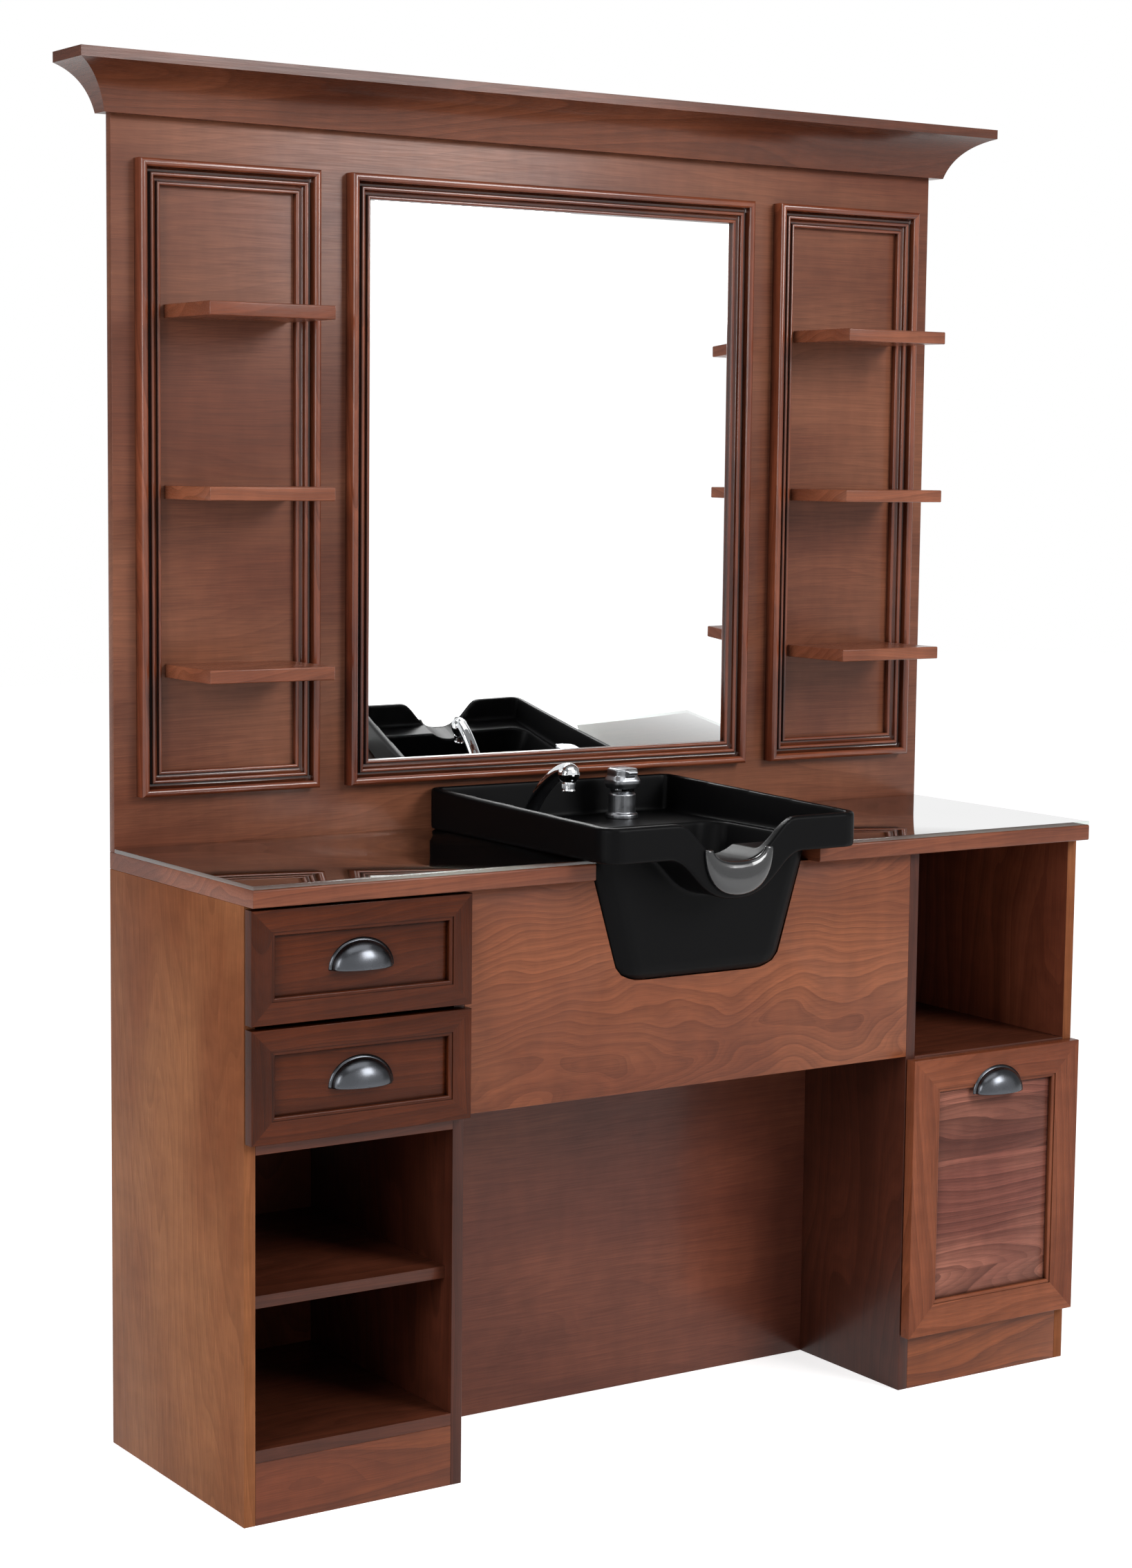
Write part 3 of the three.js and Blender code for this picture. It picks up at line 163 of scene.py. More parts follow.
def lacquered_wood(name, grain, tones, figure=0.34, gloss=0.34, glaze_and_shade=0.0, shine=0.2,
                   heart=None, stave=None, ring=RING_SPACING, run=BEND_RUN):
    """Veneer, stained and lacquered: arched growth rings, fine fibres, a soft curl across
    the grain and a blotchy stain under a satin coat. Grain is the axis that the fibres run
    along, figure the strength of the rings, glaze how much the corners and recesses are
    darkened, partly as wiped stain that stays there and partly as painted shade from an
    occlusion mask, and shine the strength of the lacquer's reflection. The rings arch round
    the heart. Stave is the width of the strips that a panel is glued up from, ring the rings'
    spacing, and run how many times longer than wide their bends are."""
    pale, middle, deep = (linear(tone) for tone in tones)
    material, tree, output = blank_material(name)
    place = put(tree, "ShaderNodeTexCoord").outputs["Object"]
    along = [i == "xyz".index(grain) for i in range(3)]

    def noise(size, stretch, detail):
        longer = put(tree, "ShaderNodeMapping", {
            "Vector": place, "Scale": [1 / stretch if lies else 1 for lies in along]})
        return put(tree, "ShaderNodeTexNoise", {
            "Vector": longer.outputs[0], "Scale": 1 / size, "Detail": detail})

    def ranged(value, spread, shares):
        return put(tree, "ShaderNodeMapRange", {
            "Value": value, "From Min": spread[0], "From Max": spread[1],
            "To Min": shares[0], "To Max": shares[1]}).outputs[0]

    def mixed(share, first, second, blend="MIX"):
        return put(tree, "ShaderNodeMix", {
            0: share, 6: first, 7: second}, data_type="RGBA", blend_type=blend).outputs[2]

    def shaded(first, value, spread, shares):
        return mixed(1.0, first, ranged(value, spread, shares), "MULTIPLY")

    board = put(tree, "ShaderNodeObjectInfo").outputs["Random"]
    spread = [0 if heart else RING_SPREAD] * 3
    if stave:
        strips = put(tree, "ShaderNodeVectorMath", {
            0: place, 1: (0, 0, 1 / stave)}, operation="MULTIPLY")
        strip = put(tree, "ShaderNodeVectorMath", {0: strips.outputs[0]}, operation="FLOOR")
        board = put(tree, "ShaderNodeTexWhiteNoise", {"Vector": strip.outputs[0]}).outputs["Value"]
        spread = [STAVE_SPREAD] * 3
    offset = put(tree, "ShaderNodeVectorMath", {
        0: board, 1: spread, 2: place}, operation="MULTIPLY_ADD")
    pith = put(tree, "ShaderNodeVectorMath", {
        0: offset.outputs[0], 1: heart or (0, 0, 0)}, operation="SUBTRACT")
    bend = put(tree, "ShaderNodeVectorMath", {
        0: noise(BEND_SIZE, run, 1.5).outputs["Color"], 1: [BEND_REACH] * 3, 2: pith.outputs[0]},
        operation="MULTIPLY_ADD")
    tilted = put(tree, "ShaderNodeMapping", {
        "Vector": bend.outputs[0], "Rotation": [0 if lies else RING_TILT for lies in along]})
    rings, fine_rings = (put(tree, "ShaderNodeTexWave", {
        "Vector": tilted.outputs[0], "Scale": WAVE_PERIOD / spacing,
        "Distortion": RING_WAVER, "Detail": 2},
        wave_type="RINGS", rings_direction=grain.upper(), wave_profile="SAW").outputs["Fac"]
        for spacing in (ring, FINE_SPACING))
    fibres = noise(FIBRE_WIDTH, FIBRE_RUN, 3).outputs[0]
    curl = noise(CURL_WIDTH, CURL_RUN, 4).outputs[0]
    blotch = noise(BLOTCH_SIZE, BLOTCH_RUN, 5).outputs[0]
    stain = mixed(ranged(blotch, BLOTCH_SPAN, (0, 1)), middle, pale)
    ringed = mixed(ranged(rings, RING_SPAN, (0, figure)), stain, deep)
    ringed = mixed(ranged(fine_rings, FINE_SPAN, (0, figure / 2)), ringed, deep)
    colour = shaded(ringed, fibres, FIBRE_SPAN, FIBRE_SHADES)
    colour = shaded(colour, curl, CURL_SPAN, CURL_SHADES)
    if stave:
        colour = shaded(colour, board, (0, 1), STAVE_SHADES)
    # Painted shade: the colour darkens where an occlusion mask finds nearby surfaces, in corners and
    # recesses, together with the wiped stain that stays there.
    if glaze_and_shade:
        corner = put(tree, "ShaderNodeAmbientOcclusion", {"Distance": GLAZE_AND_SHADE_REACH}, samples=6)
        colour = shaded(colour, corner.outputs["AO"], GLAZE_AND_SHADE_SPAN, (1 - glaze_and_shade, 1))
    bump = put(tree, "ShaderNodeBump", {
        "Height": fibres, "Strength": PORE_STRENGTH, "Distance": PORE_DEPTH})
    shader = put(tree, "ShaderNodeBsdfPrincipled", {
        "Base Color": colour, "Normal": bump.outputs[0],
        "Roughness": ranged(fibres, PORE_SPAN, [gloss + drift for drift in PORE_GLOSS]),
        "Specular IOR Level": shine, "Coat Weight": shine * COAT_SHARE,
        "Coat Roughness": COAT_ROUGHNESS})
    tree.links.new(shader.outputs[0], output.inputs[0])
    return material


def heart_of(node_name, rise=0.0):
    """A place a little behind the node's face, near its middle, for the rings to arch round."""
    low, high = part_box(node_name)
    return ((low.x + high.x) / 2, low.y + HEART_DEPTH, (low.z + high.z) / 2 + rise)


def merged_copy(node_name):
    """A bmesh of a CAD node with its loose triangles welded and flat faces whole."""
    mesh = bmesh.new()
    mesh.from_mesh(frame["nodes"][node_name].data)
    bmesh.ops.remove_doubles(mesh, verts=mesh.verts, dist=WELD)
    bmesh.ops.dissolve_limit(
        mesh, angle_limit=FLAT_TURN, verts=mesh.verts, edges=mesh.edges)
    return mesh


def piece_from(mesh, name, materials, smooth=20):
    """A new object from a bmesh, smooth where its faces turn by less than the angle."""
    data = bpy.data.meshes.new(name)
    mesh.to_mesh(data)
    mesh.free()
    data.shade_smooth()
    data.set_sharp_from_angle(angle=math.radians(smooth))
    for material in materials:
        data.materials.append(material)
    made = bpy.data.objects.new(name, data)
    bpy.context.scene.collection.objects.link(made)
    return made


def stand_for(piece, node_name):
    """The piece takes the node's place on the node's body."""
    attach(piece, frame["nodes"][node_name]["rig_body"])
    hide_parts(node_name)
    return piece


def eased(node_name, material, ease=BOARD_EASE, inner=None):
    """A board like the node's, with small round edges that catch the light. Inner is the
    material of the face towards the middle of the station, where it differs: a darker copy,
    painted shade."""
    mesh = merged_copy(node_name)
    corners = [e for e in mesh.edges if e.calc_face_angle(0) > CORNER_TURN]
    bmesh.ops.bevel(
        mesh, geom=corners, offset=ease, segments=EASE_SEGMENTS, profile=0.5, affect="EDGES",
        clamp_overlap=True)
    if inner:
        away = math.copysign(1, sum(corner.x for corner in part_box(node_name)))
        for face in mesh.faces:
            face.material_index = int(face.normal.x * away < -INNER_FACING)
    materials = [material, inner] if inner else [material]
    return stand_for(piece_from(mesh, node_name + "_wood", materials), node_name)


side_cherry = lacquered_wood("side_cherry", "z", SIDE_TONES, figure=0.18, shine=0.03)
# Painted shade: the inner faces of the outer sides, the inner sides and the bay boards are darker
# copies of the cherry.
inside_shade_cherry = lacquered_wood("inside_shade_cherry_upright", "z", INSIDE_SHADE_TONES)
shaded_cherry = lacquered_wood("shaded_cherry", "z", SHADED_TONES)
bay_shade_upright = lacquered_wood("bay_shade_cherry_upright", "z", BAY_SHADE_TONES)
bay_shade_level = lacquered_wood("bay_shade_cherry_level", "x", BAY_SHADE_TONES)
for hand in ("left", "right"):
    eased(hand + "_outer_side", side_cherry, inner=inside_shade_cherry)
    eased(hand + "_inner_side", shaded_cherry)
    kick_cherry = lacquered_wood(
        hand + "_kick_cherry", "x", KICK_TONES, figure=0.5, heart=heart_of(hand + "_kick"))
    eased(hand + "_kick", kick_cherry)
    eased(hand + "_bottom", bay_shade_level)
    eased(hand + "_back", bay_shade_upright)
for level_board in ("drawer_deck", "cubby_floor", "open_bay_shelf"):
    eased(level_board, bay_shade_level)

# Knee panel and apron: the knee panel is set back between the pedestals. The apron under
# the counter shows broad flame figure, and is cut out round the basin.
APRON_HEART_DROP = 40 * MM
APRON_RING = 13 * MM
APRON_RUN = 1.8
KNEE_TONES = ("#764230", "#5f3225", "#3c1d15")
APRON_TONES = ("#8d5133", "#723b23", "#4b2210")

knee_cherry = lacquered_wood("knee_cherry", "x", KNEE_TONES, figure=0.15)
eased("knee_panel", knee_cherry)
apron_cherry = lacquered_wood(
    "apron_cherry", "x", APRON_TONES, figure=0.4, ring=APRON_RING, run=APRON_RUN,
    heart=heart_of("apron", -APRON_HEART_DROP))
eased("apron", apron_cherry)

# Counter: a cherry board with a sheet of polished float glass lying on it. The glass has
# ground edges, and its faint green shows only along them.
COUNTER_TONES = ("#854b32", "#6b3824", "#472113")
GLASS_TINT = "#f0f6f3"
GLASS_IOR = 1.52
GLASS_FACES = 2
GLASS_EASE = 0.4 * MM
GLASS_GLOSS = (0.01, 0.035)
SMEAR_SIZE = 111 * MM

eased("counter_top", lacquered_wood("counter_cherry", "x", COUNTER_TONES))


def float_glass():
    """Float glass, polished: clear to the light, with a faint waviness in its gloss."""
    material, tree, output = blank_material("float_glass")
    place = put(tree, "ShaderNodeTexCoord").outputs["Object"]
    smear = put(tree, "ShaderNodeTexNoise", {
        "Vector": place, "Scale": 1 / SMEAR_SIZE, "Detail": 2})
    polish = put(tree, "ShaderNodeMapRange", {
        "Value": smear.outputs[0], "To Min": GLASS_GLOSS[0], "To Max": GLASS_GLOSS[1]})
    clear = put(tree, "ShaderNodeBsdfTransparent", {"Color": linear(GLASS_TINT)})
    gloss = put(tree, "ShaderNodeBsdfAnisotropic", {"Roughness": polish.outputs[0]})
    one_face = put(tree, "ShaderNodeFresnel", {"IOR": GLASS_IOR})
    entering = put(tree, "ShaderNodeMath", {
        0: one_face.outputs[0], 1: GLASS_FACES}, operation="MULTIPLY", use_clamp=True)
    mirrored = put(tree, "ShaderNodeMapRange", {
        "Value": put(tree, "ShaderNodeNewGeometry").outputs["Backfacing"],
        "To Min": entering.outputs[0], "To Max": 0})
    both = put(tree, "ShaderNodeMixShader", {
        0: mirrored.outputs[0], 1: clear.outputs[0], 2: gloss.outputs[0]})
    tree.links.new(both.outputs[0], output.inputs[0])
    return material


eased("glass_top", float_glass(), ease=GLASS_EASE)

# Back panel and crown: one wide veneered panel with level grain, topped by a cove moulding
# that is mitred round its two ends, with a cap board let in behind the fascia.
PANEL_TONES = ("#7e4e38", "#653827", "#422117")
CROWN_TONES = ("#74422d", "#592f1f", "#361a10")
CROWN_FASCIA = 15 * MM
CROWN_FOOT = 17 * MM
CROWN_SAG = 12.5 * MM
CROWN_WALL = 14 * MM
CROWN_HEEL = 22 * MM
CROWN_STEPS = 40

panel_cherry = lacquered_wood("panel_cherry", "x", PANEL_TONES, figure=0.18, shine=0.17)
eased("back_panel", panel_cherry)
crown_level = lacquered_wood("crown_cherry_level", "x", CROWN_TONES, gloss=0.26)
crown_return = lacquered_wood("crown_cherry_return", "y", CROWN_TONES, gloss=0.26)
eased("crown_cap", crown_level)


def curve(first, handle, last, steps):
    """Points on a quadratic curve, without its first."""
    shares = [i / steps for i in range(1, steps + 1)]
    return [tuple(
        (1 - t) ** 2 * first[i] + 2 * t * (1 - t) * handle[i] + t ** 2 * last[i] for i in (0, 1))
        for t in shares]


def lofted(rings, closed, name, materials, spans):
    """A skin over rings of points. Spans gives the material of each stretch between rings."""
    mesh = bmesh.new()
    rows = [[mesh.verts.new(point) for point in ring] for ring in rings]
    stretches = len(rows) if closed else len(rows) - 1
    for i in range(stretches):
        here, following = rows[i], rows[(i + 1) % len(rows)]
        for j in range(len(here)):
            k = (j + 1) % len(here)
            face = mesh.faces.new((here[j], here[k], following[k], following[j]))
            face.material_index = spans[i]
    if not closed:
        for row in (rows[0], rows[-1]):
            mesh.faces.new(row).material_index = spans[0]
    bmesh.ops.recalc_face_normals(mesh, faces=mesh.faces)
    return piece_from(mesh, name, materials, smooth=25)


def crown_piece():
    """The cove moulding along the front and back along both ends, mitred at the corners."""
    low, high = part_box("crown_moulding")
    panel_low, panel_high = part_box("back_panel")
    reach = high.x - panel_high.x
    height = high.z - low.z
    fascia_foot = height - CROWN_FASCIA
    run = reach - CROWN_FOOT
    pull = 2 * CROWN_SAG / math.hypot(run, fascia_foot)
    handle = (CROWN_FOOT + run / 2 - pull * fascia_foot, fascia_foot / 2 + pull * run)
    cap_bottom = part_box("crown_cap")[0].z - low.z
    profile = [(0, 0), (CROWN_FOOT, 0)]
    profile += curve((CROWN_FOOT, 0), handle, (reach, fascia_foot), CROWN_STEPS)
    inside = reach - CROWN_WALL
    profile += [(reach, height), (inside, height), (inside, cap_bottom), (0, CROWN_HEEL)]
    ends = [(1, False), (1, True), (-1, True), (-1, False)]
    rings = [[(
        side * (panel_high.x + out), panel_low.y - out if mitred else panel_high.y, low.z + up)
        for out, up in profile] for side, mitred in ends]
    return lofted(rings, False, "crown_wood", [crown_level, crown_return], [1, 0, 1])


stand_for(crown_piece(), "crown_moulding")

# Wall frames: a three-bead moulding, mitred at its corners and glued to the panel. The
# grain runs along each length, so the two ways of the mitre catch the light differently.
FRAME_TONES = ("#8a4a30", "#66301e", "#3a170c")
OUTER_BEAD = 6 * MM
MIDDLE_BEAD = 3.2 * MM
MIDDLE_BEAD_TOP = 16 * MM
INNER_BEAD = 3 * MM
INNER_BEAD_TOP = 11 * MM
MOULDING_WIDTH = 37 * MM
MIRROR_THICKNESS = 5 * MM
MIRROR_LAP = 8 * MM
BEAD_STEPS = 14
COVE_STEPS = 8

# The frames' grooves and corners darken with wiped stain and painted shade.
frame_level, frame_upright = (
    lacquered_wood("frame_cherry_" + way, grain, FRAME_TONES, gloss=0.16, glaze_and_shade=0.9, shine=0.4)
    for way, grain in (("level", "x"), ("upright", "z")))


def mitred_ring(node_name, profile, level, upright):
    """One profile carried round the node's rectangle. A profile's first number runs in
    from the outer edge, and its second forward from the back."""
    low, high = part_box(node_name)
    corners = [
        (low.x, 1, low.z, 1), (low.x, 1, high.z, -1), (high.x, -1, high.z, -1), (high.x, -1, low.z, 1)]
    rings = [[(x + sx * into, high.y - rise, z + sz * into) for into, rise in profile]
             for x, sx, z, sz in corners]
    ring = lofted(rings, True, node_name + "_wood", [level, upright], [1, 0, 1, 0])
    return stand_for(ring, node_name)


def arc(centre, radius, start, end, steps):
    """Points on an arc, angles in degrees."""
    angles = [math.radians(start + (end - start) * i / steps) for i in range(steps + 1)]
    return [(centre[0] + radius * math.cos(a), centre[1] + radius * math.sin(a)) for a in angles]


def beaded_profile(depth, rabbeted):
    """Three beads with a cove and a groove between them, and a rabbet for the mirror."""
    outer_foot = depth - OUTER_BEAD
    inner_centre = MOULDING_WIDTH - INNER_BEAD
    middle_centre = (2 * OUTER_BEAD + inner_centre - INNER_BEAD) / 2
    middle_foot = MIDDLE_BEAD_TOP - MIDDLE_BEAD
    inner_foot = INNER_BEAD_TOP - INNER_BEAD
    cove_end = (middle_centre - MIDDLE_BEAD, middle_foot - MIDDLE_BEAD)
    groove_start = (middle_centre + MIDDLE_BEAD, middle_foot)
    groove_end = (inner_centre - INNER_BEAD, inner_foot - INNER_BEAD / 2)
    points = [(0, 0)] + arc((OUTER_BEAD, outer_foot), OUTER_BEAD, 180, 0, BEAD_STEPS)
    points += curve((2 * OUTER_BEAD, outer_foot), (2 * OUTER_BEAD, cove_end[1]), cove_end, COVE_STEPS)
    points += arc((middle_centre, middle_foot), MIDDLE_BEAD, 180, 0, BEAD_STEPS)
    points += curve(groove_start, (groove_start[0], inner_foot), groove_end, COVE_STEPS)
    points += arc((inner_centre, inner_foot), INNER_BEAD, 180, 0, BEAD_STEPS)
    if rabbeted:
        lap = MOULDING_WIDTH - MIRROR_LAP
        return points + [(MOULDING_WIDTH, MIRROR_THICKNESS), (lap, MIRROR_THICKNESS), (lap, 0)]
    return points + [(MOULDING_WIDTH, 0)]


for frame_name in ("left_frame", "mirror_frame", "right_frame"):
    low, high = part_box(frame_name)
    moulding = beaded_profile(high.y - low.y, frame_name == "mirror_frame")
    mitred_ring(frame_name, moulding, frame_level, frame_upright)

# Mirror: a plain sheet of silvered glass with ground edges. It lies against the panel and
# is held in the rabbet of its frame.
SILVER = "#fafbfb"
MIRROR_EASE = 0.5 * MM
MIRROR_GLOSS = (0.005, 0.02)
HAZE_SIZE = 167 * MM


def silvered_glass():
    """Silvered glass: a bright even reflection with the faintest haze."""
    material, tree, output = blank_material("silvered_glass")
    place = put(tree, "ShaderNodeTexCoord").outputs["Object"]
    haze = put(tree, "ShaderNodeTexNoise", {
        "Vector": place, "Scale": 1 / HAZE_SIZE, "Detail": 3})
    gloss = put(tree, "ShaderNodeMapRange", {
        "Value": haze.outputs[0], "To Min": MIRROR_GLOSS[0], "To Max": MIRROR_GLOSS[1]})
    shader = put(tree, "ShaderNodeBsdfPrincipled", {
        "Base Color": linear(SILVER), "Metallic": 1, "Roughness": gloss.outputs[0]})
    tree.links.new(shader.outputs[0], output.inputs[0])
    return material


eased("mirror_glass", silvered_glass(), ease=MIRROR_EASE)

# Wall shelves: six short cherry boards with soft edges, stained and lacquered. They are
# screwed on through the back of the panel.
SHELF_TONES = ("#95593f", "#7a4430", "#4d2819")
SHELF_EASE = 1.2 * MM

shelf_cherry = lacquered_wood("shelf_cherry", "x", SHELF_TONES, gloss=0.26)
for hand in ("left", "right"):
    for row in (1, 2, 3):
        eased(f"{hand}_shelf_{row}", shelf_cherry, ease=SHELF_EASE)

# Drawer and door fronts: mitred rails with a small bead at the recess and a thin panel let
# in behind. The drawers are stained darker, and the door's panel shows strong figure.
DRAWER_TONES = ("#572712", "#3e1909", "#220c04")
DOOR_TONES = ("#8b4f35", "#713b26", "#4b2516")
FIGURED_TONES = ("#a66c5a", "#724238", "#3a1a15")
DRAWER_RAIL = 37 * MM
DOOR_RAIL = 56 * MM
FRONT_EASE = 1.5 * MM
RECESS_DEPTH = 9 * MM
RECESS_BEAD = 3 * MM
INSET_LAP = 10 * MM
INSET_EASE = 0.3 * MM
DRAWER_FIGURE = 0.34
DOOR_FIGURE = 0.5
DOOR_STAVE = 92 * MM
EASE_STEPS = 4


def front_profile(rail, thickness):
    """A flat rail with an eased edge, a bead at the recess and a lap for the inset panel."""
    inset_face = thickness - RECESS_DEPTH
    shoulder = thickness - RECESS_BEAD / 2
    points = [(0, 0)] + arc((FRONT_EASE, thickness - FRONT_EASE), FRONT_EASE, 180, 90, EASE_STEPS)
    points += [(rail - 2 * RECESS_BEAD, thickness), (rail - 2 * RECESS_BEAD, shoulder)]
    points += arc((rail - RECESS_BEAD, shoulder - RECESS_BEAD), RECESS_BEAD, 90, 0, BEAD_STEPS)
    return points + [(rail, inset_face), (rail - INSET_LAP, inset_face), (rail - INSET_LAP, 0)]


fronts = (
    ("lower_drawer", DRAWER_RAIL, DRAWER_TONES, DRAWER_TONES, DRAWER_FIGURE, None),
    ("upper_drawer", DRAWER_RAIL, DRAWER_TONES, DRAWER_TONES, DRAWER_FIGURE, None),
    ("hamper_door", DOOR_RAIL, DOOR_TONES, FIGURED_TONES, DOOR_FIGURE, DOOR_STAVE),
)
for front, rail, rail_tones, panel_tones, panel_figure, stave in fronts:
    low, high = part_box(front + "_front")
    # The fronts' recesses and corners darken with wiped stain and painted shade.
    rail_level, rail_upright = (
        lacquered_wood(front + way, grain, rail_tones, gloss=0.26, glaze_and_shade=0.8, shine=0.1)
        for way, grain in (("_rail_cherry", "x"), ("_stile_cherry", "z")))
    inset_cherry = lacquered_wood(
        front + "_panel_cherry", "x", panel_tones, figure=panel_figure, gloss=0.28, glaze_and_shade=0.8,
        shine=0.1, heart=heart_of(front + "_panel"), stave=stave)
    mitred_ring(
        front + "_front", front_profile(rail, high.y - low.y), rail_level, rail_upright)
    eased(front + "_panel", inset_cherry, ease=INSET_EASE)

# Drawer boxes, runners and hamper bin: birch boards, grooved and glued, and sealed with a
# clear matt lacquer. The runners are screwed to the pedestal.
BIRCH_TONES = ("#d8bd94", "#c8a87c", "#a98558")
BOX_EASE = 0.6 * MM
BIN_EASE = 0.8 * MM

birch = lacquered_wood("sealed_birch", "y", BIRCH_TONES, gloss=0.42)
for row in ("lower", "upper"):
    for part in ("box", "floor", "runner_left", "runner_right"):
        eased(f"{row}_drawer_{part}", birch, ease=BOX_EASE)
eased("hamper_bin", birch, ease=BIN_EASE)

# Cup pulls: thin gunmetal-plated shells, each a quarter of an ellipsoid with a narrow
# flange that is screwed on from behind. The mouth is open below.
GUNMETAL = "#4c4e52"
PULL_FLANGE = 4 * MM
PULL_WALL = 1.6 * MM
PULL_ARCH_STEPS = 48
PULL_REACH_STEPS = 16
DRIFT_SPAN = (0.3, 0.7)


def plated(name, colour, gloss, drift):
    """A plated casting: its gloss drifts a little from place to place."""
    material, tree, output = blank_material(name)
    place = put(tree, "ShaderNodeTexCoord").outputs["Object"]
    wander = put(tree, "ShaderNodeTexNoise", {"Vector": place, "Scale": 1 / drift, "Detail": 3})
    polish = put(tree, "ShaderNodeMapRange", {
        "Value": wander.outputs[0], "From Min": DRIFT_SPAN[0], "From Max": DRIFT_SPAN[1],
        "To Min": gloss[0], "To Max": gloss[1]})
    shader = put(tree, "ShaderNodeBsdfPrincipled", {
        "Base Color": linear(colour), "Metallic": 1, "Roughness": polish.outputs[0]})
    tree.links.new(shader.outputs[0], output.inputs[0])
    return material


def as_mesh(piece):
    """The piece with what its modifiers give as its own plain mesh."""
    evaluated = piece.evaluated_get(bpy.context.evaluated_depsgraph_get())
    finished = bpy.data.meshes.new_from_object(evaluated)
    piece.modifiers.clear()
    piece.data = finished
    return piece


gunmetal = plated("gunmetal_plate", GUNMETAL, gloss=(0.22, 0.3), drift=16.7 * MM)


def cup_pull(node_name):
    """A flange, a quarter of an ellipsoid over it, and a wall of even thickness inwards."""
    low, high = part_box(node_name)
    middle = (low.x + high.x) / 2
    half, height, reach = (high.x - low.x) / 2, high.z - low.z, high.y - low.y
    bows = [(half, height, 0), (half - PULL_FLANGE, height - PULL_FLANGE, PULL_WALL)]
    for step in range(1, PULL_REACH_STEPS):
        lean = math.pi / 2 * step / PULL_REACH_STEPS
        share = math.cos(lean)
        bows.append((
            (half - PULL_FLANGE) * share, (height - PULL_FLANGE) * share,
            PULL_WALL + (reach - PULL_WALL) * math.sin(lean)))
    mesh = bmesh.new()
    rows = [[mesh.verts.new((
        middle - wide * math.cos(turn), high.y - out, low.z + tall * math.sin(turn)))
        for turn in (math.pi * i / PULL_ARCH_STEPS for i in range(PULL_ARCH_STEPS + 1))]
        for wide, tall, out in bows]
    for here, following in zip(rows, rows[1:]):
        for j in range(PULL_ARCH_STEPS):
            mesh.faces.new((here[j], here[j + 1], following[j + 1], following[j]))
    tip = mesh.verts.new((middle, low.y, low.z))
    for j in range(PULL_ARCH_STEPS):
        mesh.faces.new((rows[-1][j], rows[-1][j + 1], tip))
    bmesh.ops.recalc_face_normals(mesh, faces=mesh.faces)
    shell = piece_from(mesh, node_name + "_shell", [gunmetal], smooth=35)
    wall = shell.modifiers.new("wall", "SOLIDIFY")
    wall.thickness = PULL_WALL
    wall.offset = -1
    return as_mesh(shell)


for pull in ("lower_drawer_pull", "upper_drawer_pull", "hamper_door_pull"):
    stand_for(cup_pull(pull), pull)

# Piano hinge: two leaves of rolled steel on one long pin, under the hamper door. One leaf
# is screwed to the kick board and the other to the door.
HINGE_STEEL = "#8f8a80"
LEAF_EASE = 0.1 * MM

hinge_steel = plated("rolled_steel", HINGE_STEEL, gloss=(0.28, 0.42), drift=11.1 * MM)
for leaf in ("hamper_hinge_leaf", "hamper_door_leaf"):
    eased(leaf, hinge_steel, ease=LEAF_EASE)

# Shampoo bowl: one black ABS moulding with a deep rim, a dipped neck rest and a tapered
# basin. Its corners are soft and its surface has a fine moulded grain.
BOWL_BLACK = "#060607"
# The moulded grain is finer: it is drawn as coarse as the render needs to show it.
BOWL_GRAIN = 1.6 * MM
GRAIN_DEPTH = 0.1 * MM
GRAIN_STRENGTH = 0.25
GRAIN_GLOSS = 0.06
SKIN_ROUGHNESS = 0.08
BOWL_VOXEL = 2.6 * MM
BOWL_KEEP = 0.5


def moulded(name, colour, roughness, grain, shine, coat):
    """A moulded skin: even colour, with a fine grain that breaks up the gloss."""
    material, tree, output = blank_material(name)
    place = put(tree, "ShaderNodeTexCoord").outputs["Object"]
    pebble = put(tree, "ShaderNodeTexNoise", {"Vector": place, "Scale": 1 / grain, "Detail": 2})
    gloss = put(tree, "ShaderNodeMapRange", {
        "Value": pebble.outputs[0], "To Min": roughness - GRAIN_GLOSS,
        "To Max": roughness + GRAIN_GLOSS})
    bump = put(tree, "ShaderNodeBump", {
        "Height": pebble.outputs[0], "Strength": GRAIN_STRENGTH, "Distance": GRAIN_DEPTH})
    shader = put(tree, "ShaderNodeBsdfPrincipled", {
        "Base Color": linear(colour), "Roughness": gloss.outputs[0], "Normal": bump.outputs[0],
        "Specular IOR Level": shine, "Coat Weight": coat, "Coat Roughness": SKIN_ROUGHNESS})
    tree.links.new(shader.outputs[0], output.inputs[0])
    return material


def cast(node_name, material, voxel, rounds, keep=1.0):
    """The node's shape as a casting or moulding, with its edges and joins run together. Keep
    is the share of the faces that stay."""
    piece = piece_from(merged_copy(node_name), node_name + "_cast", [material], smooth=180)
    remesh = piece.modifiers.new("remesh", "REMESH")
    remesh.mode = "VOXEL"
    remesh.voxel_size = voxel
    soften = piece.modifiers.new("soften", "SMOOTH")
    soften.factor = 0.5
    soften.iterations = rounds
    thin = piece.modifiers.new("thin", "DECIMATE")
    thin.ratio = keep
    as_mesh(piece).data.shade_smooth()
    return stand_for(piece, node_name)


black_abs = moulded("black_abs", BOWL_BLACK, roughness=0.42, grain=BOWL_GRAIN, shine=0.06, coat=0.0)
cast("bowl", black_abs, BOWL_VOXEL, rounds=4, keep=BOWL_KEEP)

# Neck rest pad: a crescent of smoky grey gel, poured in a mould, glossy and soft. It is stuck
# into the dip at the front of the bowl.
GEL_GREY = "#141517"
GEL_RIPPLE = 5 * MM
PAD_VOXEL = 1.2 * MM

grey_gel = moulded("grey_gel", GEL_GREY, roughness=0.2, grain=GEL_RIPPLE, shine=0.3, coat=0.8)
pad = cast("neck_pad", grey_gel, PAD_VOXEL, rounds=6)

